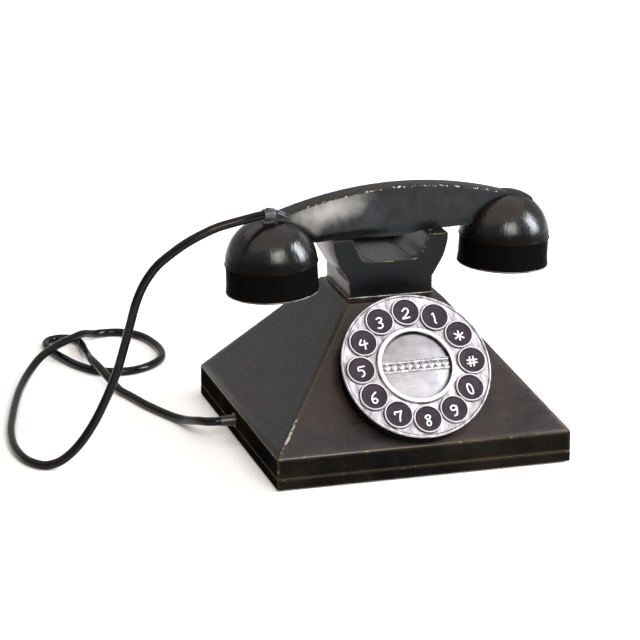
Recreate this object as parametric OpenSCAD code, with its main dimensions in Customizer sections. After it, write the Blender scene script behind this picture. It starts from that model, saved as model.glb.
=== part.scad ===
// Desk telephone: pyramid housing on a square plinth, flared cradle, arched handset, ring of keys.
// Millimetres, +Z up. Origin on the table at the middle of the outer box; the handset lies along X.

/* [Plinth and pyramid] */
// Width and depth of the square plinth
base_w = 190; // [150:1:230]
// Height of the plinth's top edge above the table
plinth_h = 21; // [17:0.5:28]
// Height of the seam between tray and shell
tray_h = 7.5; // [6:0.5:10]
// Width and depth of the pyramid's flat top
top_w = 62; // [56:1:70]
// Height of the pyramid's flat top
top_h = 95.5; // [85:0.5:110]
// Thickness of the sheet metal
sheet = 1.5; // [1:0.1:2]
// How far the plinth's centre sits left of the handset's middle
base_shift = 3; // [0:0.5:6]

/* [Dial and keys] */
// Radius of the silver dial plate
dial_r = 47.6; // [44:0.2:52]
// Height of the dial plate's face above the slope
dial_t = 13.5; // [11:0.5:16]
// Distance of the dial's centre from the plinth edge, along the slope
dial_up = 47.9; // [46:0.1:54]
// Distance of the circle of keys in from the dial's rim
key_margin = 11.7; // [11:0.1:13]
// Number of keys
key_count = 12; // [12:1:12]
// Radius of a key cap
key_r = 7.88; // [7:0.02:8.4]
// Radial gap between a key cap and its bore
key_gap = 0.07; // [0.03:0.01:0.1]
// Travel of a key
key_travel = 1.5; // [1:0.1:1.8]
// Height of the raised collars and centre ring
collar_h = 1.3; // [0.8:0.1:1.6]
// Gap between the keys' collars and the centre ring
ring_gap = 1.42; // [1:0.02:2]
// Width of the raised centre ring
ring_w = 3; // [2:0.1:4]

/* [Cradle] */
// Width of the pedestal
cradle_w = 54.6; // [50:0.2:58]
// Width across the two prongs
prong_w = 75.2; // [70:0.2:80]
// Height of the cradle above the pyramid
cradle_h = 38.2; // [34:0.2:42]
// Depth of the cradle, front to back
cradle_d = 50; // [44:1:54]
// Distance of the cradle's front behind the plinth's centre line, negative is forward
cradle_front = -21; // [-24:0.5:-18]
// Width of the notch at the prong tops
notch_w = 50.4; // [46:0.2:54]
// Depth of the notch
notch_d = 15.5; // [12:0.5:18]
// Rise of the hook plungers when the handset is lifted
hook_travel = 4; // [2:0.5:4]

/* [Handset] */
// Distance from the handset's middle to a cup's axis
cup_x = 80.8; // [78:0.2:86]
// Height of the cups' bead line above the table
cup_z = 122.6; // [118:0.2:128]
// Radius of the domes
dome_r = 29; // [27:0.1:31]
// Radius of the caps' lip
lip_r = 29.4; // [27.5:0.1:31.5]
// Height of the caps' skirt
skirt_h = 18.2; // [15:0.2:22]
// Inward tilt of the cups, degrees
splay = 2.8; // [0:0.2:5]
// Turn of the handset on the cradle, degrees
yaw = 7; // [0:0.5:8]
// Depth of the box-section grip
grip_t = 12.4; // [11:0.2:16]
// Radius of the grip's arched top
arch_r = 265; // [240:1:300]
// Height of the arch's crown above the table
arch_z = 164.8; // [162:0.2:168]
// Distance of the handset's axis from the plinth's centre line, negative is forward
handset_y = -8; // [-12:0.5:0]
// Gap between the grip's floor and the prong tops
rest_gap = 0.3; // [0.2:0.05:0.5]
// Distance the handset can be lifted
lift = 60; // [40:1:80]

/* [Cord] */
// Diameter of the handset cord
cord_d = 5.6; // [5:0.1:6.2]
// Length of the rubber boot where the cord leaves the plinth
boot_len = 10.5; // [8:0.5:14]

/* [Hidden] */
$fn = 48;
e = 0.01;
hw = base_w / 2;
th = top_w / 2;
rise = top_h - plinth_h;
run = hw - th;
slope_a = atan2(rise, run);          // angle of the pyramid's faces
slope_len = norm([rise, run]);
wall_x = sheet / sin(slope_a);       // sheet thickness measured level
bx = -base_shift;
rim_h = 0.5;                         // fine raised edge round the dial plate
over = (dial_t + rim_h) * sin(slope_a) - (dial_up - dial_r) * cos(slope_a);   // dial's overhang in front
by = max(0, over / 2);               // centres the outer box front to back
foot_h = 1;
prong_z = top_h + cradle_h;
grip_z = prong_z + rest_gap;         // underside of the grip
hy = by + handset_y;                 // handset's axis
g = grip_t / 2;
plate = 1.2;                         // thin sheet of cradle and grip
key_ring_r = dial_r - key_margin;    // radius of the circle of keys
tray_in = hw - sheet;
post_xy = hw - 12;
post_r = 4.5;
foot_r = 8;
foot_in = 16;
screw_r = 1.6;
jack_d = 14;
head_gap = 0.02;                     // play under a screw's head

// ---------- placing ----------
module at_base() translate([bx, by, 0]) children();
module on_slope(up = dial_up, x = 0)
  translate([bx + x, by - hw + up * cos(slope_a), plinth_h + up * sin(slope_a)])
    rotate([slope_a, 0, 0]) children();
module at_handset() translate([0, hy, 0]) rotate([0, 0, yaw]) children();
module at_cup(side)
  at_handset() translate([side * cup_x, 0, cup_z]) rotate([0, side * splay, 0]) children();
module at_key(i) rotate([0, 0, -i * 360 / key_count]) translate([0, key_ring_r, 0]) children();
module stand(d) rotate([90, 0, 0]) translate([0, 0, -d]) linear_extrude(d) children();
module frustum(w1, w2, h) rotate([0, 0, 45]) cylinder(r1 = w1 / sqrt(2), r2 = w2 / sqrt(2), h = h, $fn = 4);
module block(x, y, z0, z1) translate([-x / 2, -y / 2, z0]) cube([x, y, z1 - z0]);

// ---------- base ----------
module shell_outer() {
  block(base_w, base_w, tray_h, plinth_h);
  translate([0, 0, plinth_h]) frustum(base_w, top_w, rise);
}
jack_x = 30;
jack_w = 14;
jack_z = 14;
gland_y = 4;
gland_z = 13.3;
gland_r = 3.6;
hook_y = handset_y;
rod_r = 2.8;
module housing_shell() color("#232221") difference() {
  union() {
    at_base() difference() {
      shell_outer();
      block(base_w - 2 * sheet, base_w - 2 * sheet, tray_h - 1, plinth_h);
      translate([0, 0, plinth_h - e])
        frustum(base_w - 2 * wall_x, top_w - 2 * wall_x + 2 * sheet * run / rise, rise - sheet + e);
    }
    at_base() intersection() {
      for (sx = [-1, 1], sy = [-1, 1])
        translate([sx * post_xy, sy * post_xy, tray_h]) cylinder(r = post_r, h = 40);
      shell_outer();
    }
  }
  on_slope() translate([0, 0, -8]) cylinder(r = neck_r + 0.1, h = 10);
  for (a = [0, 120, 240]) on_slope() rotate([0, 0, a]) translate([0, screw_ring, -8]) cylinder(r = screw_r + 0.2, h = 10);
  at_base() for (sx = [-1, 1], sy = [-1, 1])
    translate([sx * post_xy, sy * post_xy, tray_h - 1]) cylinder(r = screw_r, h = 13);
  at_base() translate([0, hook_y, top_h - 4]) cylinder(r = rod_r + 0.6, h = 8);
  at_base() for (s = [-1, 1]) translate([s * cradle_fix_x, cradle_fix_y, top_h - 4]) cylinder(r = screw_r + 0.2, h = 8);
  at_base() translate([-hw - 1, gland_y, gland_z]) rotate([0, 90, 0]) cylinder(r = gland_r + 0.05, h = 4);
  at_base() translate([jack_x - 5.8, hw - 4, jack_z - 4.2]) cube([11.6, 8, 8.4]);
}
module base_tray() color("#262524") difference() {
  union() {
    at_base() difference() {
      block(base_w, base_w, foot_h, tray_h);
      block(2 * tray_in, 2 * tray_in, foot_h + sheet, tray_h + 1);
    }
    at_base() for (sx = [-1, 1], sy = [-1, 1])
      translate([sx * post_xy, sy * post_xy, foot_h]) cylinder(r = post_r + 2, h = tray_h - foot_h);
    at_base() for (p = board_feet) translate([p[0], p[1], foot_h]) cylinder(r = 3, h = 5);
  }
  at_base() for (sx = [-1, 1], sy = [-1, 1]) translate([sx * post_xy, sy * post_xy, 0]) {
    cylinder(r = screw_r + 0.2, h = 20);
    cylinder(r = 3.6, h = foot_h + 2.6);
  }
}
module feet() color("#1a1a1a") at_base() for (sx = [-1, 1], sy = [-1, 1])
  translate([sx * (post_xy - foot_in), sy * (post_xy - foot_in), 0]) cylinder(r = foot_r, h = foot_h);
module base_screws() color("#8a8a88") at_base() for (sx = [-1, 1], sy = [-1, 1])
  translate([sx * post_xy, sy * post_xy, foot_h + 0.6]) {
    cylinder(r = 3.3, h = 2);
    cylinder(r = screw_r - 0.02, h = 15);
  }
module cord_gland() color("#101010") at_base() translate([-hw, gland_y, gland_z]) rotate([0, -90, 0])
  difference() {
    union() {
      translate([0, 0, -sheet - 5]) cylinder(r = gland_r, h = sheet + 5);
      cylinder(r = gland_r + 1.2, h = 1.6);
      translate([0, 0, 1.6]) cylinder(r1 = gland_r + 0.5, r2 = cord_d / 2 + 0.35, h = boot_len - 1.6);
      translate([0, 0, -sheet - 3]) cylinder(r = gland_r + 1.6, h = 3);
    }
    translate([0, 0, -10]) cylinder(r = 1.6, h = 20);
  }
module line_jack() color("#161616") at_base() difference() {
  translate([jack_x - jack_w / 2, hw - sheet - jack_d, jack_z - 5.9]) cube([jack_w, jack_d, 11.8]);
  translate([jack_x - 5, hw - sheet - jack_d + 2, jack_z - 3.4]) cube([10, jack_d - 1, 6.8]);
}

// ---------- internals ----------
board_w = 60;
board_d = 42;
board_x = -hw + 17 + board_w / 2;
board_y = -hw + 44 + board_d / 2;
board_feet = [for (x = [-1, 1], y = [-1, 1]) [board_x + x * (board_w / 2 - 4), board_y + y * (board_d / 2 - 4)]];
module main_board() color("#1f5a34") at_base() {
  difference() {
    translate([board_x - board_w / 2, board_y - board_d / 2, foot_h + 5]) cube([board_w, board_d, 1.6]);
    for (p = board_feet) translate([p[0], p[1], 0]) cylinder(r = 1.2, h = 20);
  }
  translate([board_x - 12, board_y - 6, foot_h + 6.6]) cube([24, 8, 3.2]);
  for (x = [-18, 16]) translate([board_x + x, board_y + 11, foot_h + 6.6]) cylinder(r = 4, h = 9);
  translate([board_x + 10, board_y - 16, foot_h + 6.6]) cube([14, 7, 5]);
}
bell_r = 24;
bell_x = bell_r + 5;
bell_y = hw - sheet - jack_d - 7.5 - bell_r;   // clear of the line socket
module gong(s) color("#b08d3e") at_base() translate([s * bell_x, bell_y, foot_h + sheet]) {
  cylinder(r = 4, h = 18.2);
  translate([0, 0, 18.2]) rotate_extrude()
    polygon([[0, 8.6], [10, 8.2], [18, 5.8], [22.4, 1.2], [bell_r, -6], [bell_r - 1.4, -6], [21, 0.6],
      [17, 4.6], [9.4, 6.8], [0, 7.2]]);
  cylinder(r = 1.8, h = 29.4);
}
module gong_left() gong(-1);
module gong_right() gong(1);
clap_len = 32;
clap_y = bell_y - clap_len;
module ringer_frame() color("#9a9a98") at_base() difference() {
  union() {
    translate([-14, clap_y - 18, foot_h + sheet]) cube([28, 21, 1.5]);
    translate([-14, clap_y - 18, foot_h + sheet]) cube([28, 1.5, 16]);
    translate([0, clap_y, foot_h + sheet]) cylinder(r = 3.4, h = 6);
    translate([0, clap_y, foot_h + sheet]) cylinder(r = 1.45, h = 16);
  }
}
module ringer_coils() color("#7a2f22") at_base() for (s = [-1, 1])
  translate([s * 7.2, clap_y - 16.5, foot_h + sheet + 9]) rotate([-90, 0, 0]) { cylinder(r = 5.6, h = 9.5); cylinder(r = 2, h = 11.5); }
module clapper() color("#a9a9a6") at_base() translate([0, clap_y, foot_h + sheet + 7]) difference() {
  union() {
    cylinder(r = 3.2, h = 4);
    translate([-1, 0, 0]) cube([2, clap_len, 1.6]);
    translate([-10, -2.6, 0.4]) cube([20, 2, 3.2]);
    translate([0, clap_len, 4]) sphere(r = 3.2);
    translate([0, clap_len, 0]) cylinder(r = 1.2, h = 4);
  }
  translate([0, 0, -1]) cylinder(r = 1.5, h = 7);
}

// ---------- dial ----------
face_t = 2;
face_z = dial_t - face_t;             // underside of the dial plate, above the slope
neck_r = 24;
screw_ring = dial_r - 13.6;
key_bore = key_r + key_gap;
half_pitch = key_ring_r * sin(180 / key_count);
collar_r = min(key_bore + 1.3, half_pitch - 0.02);
flange_r = min(key_r + 0.7, half_pitch - 0.1);
ring_r2 = key_ring_r - collar_r - ring_gap;
ring_r1 = ring_r2 - ring_w;
module dial_housing() color("#141414") on_slope() difference() {
  union() {
    cylinder(r1 = dial_r - 1.6, r2 = dial_r, h = face_z, $fn = 96);
    translate([0, 0, -6]) cylinder(r = neck_r, h = 6 + e);
  }
  translate([0, 0, 2]) cylinder(r = dial_r - 3, h = face_z, $fn = 96);
  translate([0, 0, -7]) cylinder(r = neck_r - 2, h = 10);
  for (a = [0, 120, 240]) rotate([0, 0, a]) translate([0, screw_ring, -1]) cylinder(r = screw_r, h = 4);
}
module dial_screws() color("#8a8a88") on_slope() for (a = [0, 120, 240]) rotate([0, 0, a])
  translate([0, screw_ring, -sheet]) {
    translate([0, 0, -2 - head_gap]) cylinder(r = 3.2, h = 2);
    translate([0, 0, -head_gap - e]) cylinder(r = screw_r - 0.02, h = sheet + 1.9);
  }
module key_board() color("#1f5a34") on_slope() difference() {
  translate([0, 0, 2.1]) cylinder(r = dial_r - 3.4, h = 1.6, $fn = 96);
  translate([0, 0, 1]) cylinder(r = key_ring_r - 17.9, h = 4);
  for (a = [0, 120, 240]) rotate([0, 0, a]) translate([0, screw_ring, 1]) cylinder(r = 2.4, h = 4);
}
module key_mat() color("#c9c9c4") on_slope() difference() {
  union() {
    translate([0, 0, 3.7]) cylinder(r = dial_r - 3.6, h = 0.8, $fn = 96);
    for (i = [0 : key_count - 1]) at_key(i) translate([0, 0, 4.5]) cylinder(r1 = 6, r2 = 4.8, h = 1.6);
  }
  translate([0, 0, 3]) cylinder(r = key_ring_r - 15.9, h = 4);
  for (i = [0 : key_count - 1]) at_key(i) translate([0, 0, 4.5]) cylinder(r = 3.9, h = 4);
}
module dial_face() color("#d4d4d6") on_slope() difference() {
  union() {
    translate([0, 0, face_z]) cylinder(r = dial_r, h = face_t, $fn = 96);
    for (i = [0 : key_count - 1]) at_key(i) translate([0, 0, dial_t - e]) cylinder(r = collar_r, h = collar_h + e);
    translate([0, 0, dial_t - e]) cylinder(r = ring_r2, h = collar_h + e);
    translate([0, 0, dial_t - e]) cylinder(r = dial_r, h = rim_h + e, $fn = 96);
  }
  difference() {
    translate([0, 0, dial_t]) cylinder(r = dial_r - 1.2, h = 5, $fn = 96);
    for (i = [0 : key_count - 1]) at_key(i) translate([0, 0, dial_t - 1]) cylinder(r = collar_r, h = 9);
    translate([0, 0, dial_t - 1]) cylinder(r = ring_r2, h = 9);
  }
  translate([0, 0, dial_t - 0.6]) cylinder(r = ring_r1, h = 5);
  for (i = [0 : key_count - 1]) at_key(i) translate([0, 0, face_z - 1]) cylinder(r = key_bore, h = 9);
}
card_r = ring_r1 - 0.1;
module centre_card() color("#d9d9da") on_slope() translate([0, 0, dial_t - 0.6]) {
  cylinder(r = card_r, h = 0.5);
  intersection() {
    cylinder(r = card_r, h = 3);
    union() {
      for (s = [-1, 1]) translate([-card_r, s * 3.5 - 0.6, 0.4]) cube([2 * card_r, 1.2, 0.6]);
      for (i = [-4 : 4]) translate([i * 4.6, 0, 0.4]) cylinder(r1 = 1.9, r2 = 1.2, h = 0.5, $fn = 4);
    }
  }
}
key_top = dial_t + collar_h - 0.6;
module key(i) color("#3a373a") on_slope() at_key(i) {
  translate([0, 0, face_z - 1.9]) cylinder(r = key_r, h = key_top - face_z + 1.9);
  translate([0, 0, face_z - 1.9]) cylinder(r = flange_r, h = 1.6);
  translate([0, 0, 6.4]) cylinder(r = 3, h = face_z - 1.9 - 6.4 + e);
}
module key_2() key(0);
module key_1() key(1);
module key_star() key(2);
module key_hash() key(3);
module key_0() key(4);
module key_9() key(5);
module key_8() key(6);
module key_7() key(7);
module key_6() key(8);
module key_5() key(9);
module key_4() key(10);
module key_3() key(11);

// ---------- cradle ----------
cw = cradle_w / 2;
flare = prong_w / 2 - cw;
nw = notch_w / 2;
notch_z = cradle_h - notch_d;
cradle_fix_x = 19;
cradle_fix_y = cradle_front + cradle_d / 2;
// side outline: share of the flare and of the height
side = [[0, 0], [0, 0.275], [0.36, 0.445], [0.7, 0.6], [0.88, 0.745], [1, 0.9], [1, 1]];
// notch outline: share of the notch's half width and of its depth
notch = [[1, 0], [0.9, 0.4], [0.805, 0.79], [0.69, 0.97], [0.5, 1]];
function both(p) = concat(p, [for (i = [len(p) - 1 : -1 : 0]) [-p[i][0], p[i][1]]]);
function side_pts(t, z0, z1) = [for (p = side)
  [cw + flare * p[0] - t, max(z0, min(z1, cradle_h * p[1]))]];
function notch_pts(t, up) = concat([[nw + t, cradle_h + up]],
  [for (p = notch) [nw * p[0] + t, cradle_h - notch_d * p[1] - (p[1] > 0.9 ? t : 0)]]);
module cradle_2d() difference() {
  polygon(both(side_pts(0, 0, cradle_h)));
  polygon(both(notch_pts(0, 1)));
}
module at_cradle(y) translate([bx, by + cradle_front + y, top_h]) children();
module cradle_front() color("#1c1b1a") at_cradle(0) stand(plate) cradle_2d();
module cradle_back() color("#1c1b1a") at_cradle(cradle_d - plate) stand(plate) cradle_2d();
module cradle_skin() color("#2a2c2e") difference() {
  at_cradle(plate) stand(cradle_d - 2 * plate) difference() {
    cradle_2d();
    difference() {
      polygon(both(side_pts(1.4, plate, cradle_h - plate)));
      polygon(both(notch_pts(1.4, 1)));
    }
  }
  for (s = [-1, 1]) translate([bx + s * plunger_x - 1.7, hy - 4.2, prong_z - 4]) cube([3.4, 8.4, 8]);
  at_base() translate([0, hook_y, top_h - 1]) cylinder(r = rod_r + 0.6, h = 5);
  at_base() for (s = [-1, 1]) translate([s * cradle_fix_x, cradle_fix_y, top_h - 1]) cylinder(r = screw_r, h = 5);
}
module cradle_screws() color("#8a8a88") at_base() for (s = [-1, 1])
  translate([s * cradle_fix_x, cradle_fix_y, top_h - sheet]) {
    translate([0, 0, -2 - head_gap]) cylinder(r = 3.2, h = 2);
    translate([0, 0, -head_gap - e]) cylinder(r = screw_r - 0.02, h = sheet + 3);
  }
plunger_x = cw + 1.7;
bar_z = 14;                            // crossbar's underside above the pyramid's top
module hook_lifter() color("#a6a6a4") translate([bx, hy, top_h]) {
  translate([0, -3, 0]) stand(6) polygon(both([[plunger_x - 5.5, bar_z + 2.7],
    [plunger_x - 1.4, bar_z + 6.8], [plunger_x - 1.4, cradle_h + 0.15], [plunger_x + 1.4, cradle_h + 0.15],
    [plunger_x + 1.4, bar_z + 6], [plunger_x - 4, bar_z]]));
  translate([0, 0, bar_z - 26]) cylinder(r = rod_r, h = 26.5);
}
module hook_spring() color("#b9b9b6") translate([bx, hy, top_h + plate]) difference() {
  cylinder(r = 5.4, h = bar_z - plate);
  translate([0, 0, -1]) cylinder(r = 4.5, h = 20);
}
module hook_bracket() color("#9a9a98") at_base() translate([0, hook_y, 0]) difference() {
  union() {
    for (s = [-1, 1]) translate([s * 11 - 0.75, -6, top_h - sheet - 24]) cube([1.5, 12, 24]);
    translate([-11.75, -6, top_h - sheet - 24]) cube([23.5, 12, 1.5]);
  }
}
module hook_switch() color("#2b2b2b") at_base() translate([0, hook_y, 0]) {
  translate([-9, -4, top_h - sheet - 22.5]) cube([18, 8, 9]);
  translate([0, 0, top_h - sheet - 13.5]) cylinder(r = 1.6, h = 2.7);
}

// ---------- handset ----------
half_len = cup_x - 26;                 // where the grip's plates run into the domes
module arch(inset, d) translate([0, 0, arch_z - arch_r]) rotate([90, 0, 0]) translate([0, 0, -d / 2])
  cylinder(r = arch_r - inset, h = d, $fn = 200);
belly = 1.5;                           // dip of the grip's underside between the prongs
belly_w = 20;
belly_r = (belly_w * belly_w + belly * belly) / (2 * belly);
module belly_cyl(inset) translate([0, 0, grip_z + inset - belly + belly_r]) rotate([90, 0, 0])
  translate([0, 0, -20]) cylinder(r = belly_r, h = 40, $fn = 200);
module under(inset) {
  translate([-cup_x, -20, grip_z + inset]) cube([2 * cup_x, 40, 60]);
  intersection() {
    belly_cyl(inset);
    translate([-belly_w, -20, grip_z - belly - 5]) cube([2 * belly_w, 40, 20]);
  }
}
module domes_out(gap = 0) for (s = [-1, 1]) translate([s * cup_x, 0, cup_z]) rotate([0, s * splay, 0])
  sphere(r = dome_r + gap, $fn = 96);
tongue = 1.2;
module tongues() intersection() {
  domes_out(tongue);
  for (s = [-1, 1]) translate([s * (cup_x + 4) - 13, -g, cup_z]) cube([26, grip_t, 60]);
}
module grip_plate(y) at_handset() difference() {
  intersection() {
    translate([-cup_x, y, grip_z - 10]) cube([2 * cup_x, plate, 60]);
    arch(plate, 40);
    under(0);
  }
  domes_out();
  tongues();
}
module grip_front() color("#1b1b1b") grip_plate(-g);
module grip_back() color("#1b1b1b") grip_plate(g - plate);
module grip_floor() color("#1b1b1b") at_handset() difference() {
  intersection() {
    translate([-cup_x, -g + plate, grip_z - 10]) cube([2 * cup_x, grip_t - 2 * plate, 60]);
    under(0);
  }
  translate([0, 0, 0]) under(plate);
  domes_out();
}
module grip_strap() color("#2c2b28") at_handset() difference() {
  union() {
    intersection() {
      translate([-cup_x, -g, arch_z - 40]) cube([2 * cup_x, grip_t, 60]);
      difference() { arch(0, 60); arch(plate, 70); }
    }
    tongues();
  }
  domes_out();
}
neck_in = dome_r - 3.6;                // inside of the collar that takes the cap
dome_wall = 1.4;
module dome(s) color("#151414") at_cup(s) difference() {
  union() {
    intersection() {
      sphere(r = dome_r, $fn = 96);
      cylinder(r = 40, h = 40);
    }
    rotate_extrude($fn = 96) translate([dome_r - 0.2, 0.9]) circle(r = 0.9, $fn = 24);
    translate([0, 0, -5]) cylinder(r = neck_in + 1.2, h = 5 + e, $fn = 96);
  }
  intersection() {
    sphere(r = dome_r - dome_wall, $fn = 96);
    translate([0, 0, dome_wall]) cylinder(r = 40, h = 40);
  }
  translate([0, 0, -6]) cylinder(r = neck_in, h = 8, $fn = 96);
  rotate([0, -s * splay, 0]) translate([-s * dome_r, 0, 17]) rotate([0, s * 90, 0]) cylinder(r = 3, h = 20);
}
module transmitter_dome() dome(-1);
module receiver_dome() dome(1);
cap_in = neck_in + 1.25;
face_in = 3;                           // cap's perforated face, in from the lip
module cap(s, holes) color("#171717") at_cup(s) difference() {
  rotate_extrude($fn = 96) polygon([[cap_in, -0.05], [dome_r - 0.2, -0.05], [dome_r - 0.3, -3],
    [dome_r - 0.2, -skirt_h + 6], [lip_r, -skirt_h + 0.6], [lip_r - 0.5, -skirt_h], [lip_r - 1.7, -skirt_h],
    [cap_in - 0.4, -skirt_h + face_in], [0, -skirt_h + face_in], [0, -skirt_h + face_in + 1.6],
    [cap_in, -skirt_h + face_in + 1.6]]);
  for (r = [1 : 3], k = [0 : 6 * r - 1]) if (r < 3 || holes)
    rotate([0, 0, k * 60 / r]) translate([r * 5, 0, -skirt_h]) cylinder(r = 1.1, h = 7, $fn = 16);
  translate([0, 0, -skirt_h]) cylinder(r = 1.1, h = 7, $fn = 16);
}
module transmitter_cap() cap(-1, true);
module receiver_cap() cap(1, false);
module capsule(s) color("#b7b7b2") at_cup(s) {
  translate([0, 0, -skirt_h + 6]) cylinder(r = neck_in - 0.4, h = skirt_h - 8);
  translate([0, 0, -3]) cylinder(r = 15, h = 6);
}
module transmitter_capsule() capsule(-1);
module receiver_capsule() capsule(1);

// ---------- cord ----------
// strap on the left crown; its bore takes the end of the lead
lead_y = -7;
band_t = 0.9;                           // sheet of the strap round the cord
lead_z = cup_z + sqrt(pow(dome_r + tongue + band_t + cord_d / 2 + 0.05, 2) - pow(lead_y, 2));
module cord_clamp() color("#4a4a48") at_handset() difference() {
  union() {
    translate([-cup_x - 8, lead_y, lead_z]) rotate([0, 90, 0]) cylinder(r = cord_d / 2 + band_t, h = 10);
    translate([-cup_x - 8, lead_y - band_t - cord_d / 2, lead_z - 7.5])
      cube([10, -g - 0.05 - lead_y + band_t + cord_d / 2, 7.5]);
  }
  translate([-cup_x - 20, lead_y, lead_z]) rotate([0, 90, 0]) cylinder(r = cord_d / 2, h = 20);
  domes_out(0.02);
}
function hs(p) = [p[0] * cos(yaw) - p[1] * sin(yaw), hy + p[0] * sin(yaw) + p[1] * cos(yaw), p[2]];
function from_base(p) = [p[0], by + p[1], p[2]];
function from_gland(p) = [bx - hw + p[0], by + gland_y + p[1], p[2]];
t0 = cord_d / 2;                        // cord's centre when it lies on the table
t1 = t0 + cord_d + 0.6;                 // and where it crosses over itself
lead_last = 3;                          // last route point that rides on the handset
route = concat(
  [for (p = [[0, 0, 0], [-9.2, 0, 0], [-20.2, -0.6, -1.3]])
    hs([-cup_x + p[0], lead_y + p[1], lead_z + p[2]])],
  // hanging from the handset down to the table
  [for (p = [[-116, -29, lead_z - 4.3], [-127, -28.7, 147.4], [-137, -28.2, 142.4], [-146, -27.5, 136.4],
    [-155, -26.5, 129], [-162.5, -25, 118.5], [-168, -24, 106], [-172, -23, 91], [-176, -22, 76],
    [-180.5, -21, 60.5], [-187, -20, 44.5], [-195.5, -19.5, 28], [-205.5, -19.5, 14.5], [-216, -19.3, 6],
    // out to the left and back behind the plinth
    [-225.5, -17, t0 + 0.2], [-232.5, -9.5, t0], [-236.5, 2.5, t0], [-237.8, 24, t0], [-234.5, 52, t0],
    [-228, 80, t0], [-220.5, 108, t0], [-212, 135, t0], [-201.5, 160, t0 + 1.5], [-189, 180, t0 + 5],
    [-175, 197, t1], [-162.5, 209.5, t1], [-151.5, 220.5, t1 - 0.7], [-141.5, 231, t0 + 1.5], [-130, 235.5, t0],
    // small loop
    [-118, 231.5, t0], [-109, 220, t0], [-104.5, 202, t0], [-103.8, 184, t0], [-108, 168, t0], [-118, 156, t0],
    [-131, 149, t0], [-145, 149.5, t0], [-157, 156.5, t0], [-166, 170, t0], [-172, 187, t0], [-176, 202, t0],
    // hairpin and back over the loop
    [-178, 218, t0], [-174.5, 228.3, t0], [-166, 232, t0], [-157.5, 228.3, t0], [-154, 219, t0],
    [-154.3, 203, t0], [-156, 184, t0 + 2.5], [-158, 161, t1], [-156.3, 141, t1], [-153.5, 124, t0 + 3.6]])
    from_base(p)],
  // in to the gland
  [for (p = [[-51.5, 105, t0], [-47, 91, t0], [-42, 74, t0], [-36, 58, t0], [-30, 43.5, t0 + 0.4],
    [-25.8, 31, t0 + 2.4], [-23.5, 20, t0 + 5.4], [-21.2, 10.5, t0 + 8.2], [-18.2, 4, gland_z - 0.9],
    [-14.5, 0.7, gland_z - 0.1], [-boot_len - 1.6, 0, gland_z], [-boot_len, 0, gland_z]]) from_gland(p)]);
function unit(v) = v / norm(v);
function tangent(p, i) = unit(p[min(len(p) - 1, i + 1)] - p[max(0, i - 1)]);
// round tube swept along the route from point a to point b
module tube(p, a, b, r, n) {
  m = b - a + 1;
  rings = [for (i = [a : b]) let (t = tangent(p, i), u = unit(cross([0.02, 0.03, 1], t)), v = cross(t, u))
    each [for (k = [0 : n - 1]) p[i] + r * (cos(k * 360 / n) * u + sin(k * 360 / n) * v)]];
  faces = concat([[for (k = [0 : n - 1]) k]],
    [for (i = [0 : m - 2], k = [0 : n - 1]) each [[i * n + k, (i + 1) * n + k, (i + 1) * n + (k + 1) % n],
      [i * n + k, (i + 1) * n + (k + 1) % n, i * n + (k + 1) % n]]],
    [[for (k = [n - 1 : -1 : 0]) (m - 1) * n + k]]);
  polyhedron(rings, faces);
}
module cord() color("#0d0d0d") tube(route, lead_last, len(route) - 1, cord_d / 2, 10);
module cord_lead() color("#0d0d0d") tube(route, 0, lead_last, cord_d / 2 - 0.06, 12);

housing_shell();
base_tray();
feet();
base_screws();
cord_gland();
line_jack();
main_board();
gong_left();
gong_right();
ringer_frame();
ringer_coils();
clapper();
dial_housing();
dial_screws();
key_board();
key_mat();
dial_face();
centre_card();
key_1();
key_2();
key_3();
key_4();
key_5();
key_6();
key_7();
key_8();
key_9();
key_0();
key_star();
key_hash();
cradle_front();
cradle_back();
cradle_skin();
cradle_screws();
hook_lifter();
hook_spring();
hook_bracket();
hook_switch();
grip_front();
grip_back();
grip_floor();
grip_strap();
transmitter_dome();
receiver_dome();
transmitter_cap();
receiver_cap();
transmitter_capsule();
receiver_capsule();
cord_clamp();
cord_lead();
cord();
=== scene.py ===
"""Desk telephone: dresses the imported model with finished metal, lacquer, silver and rubber pieces."""
from math import atan2, cos, pi, radians, sin, sqrt, tan

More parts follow.
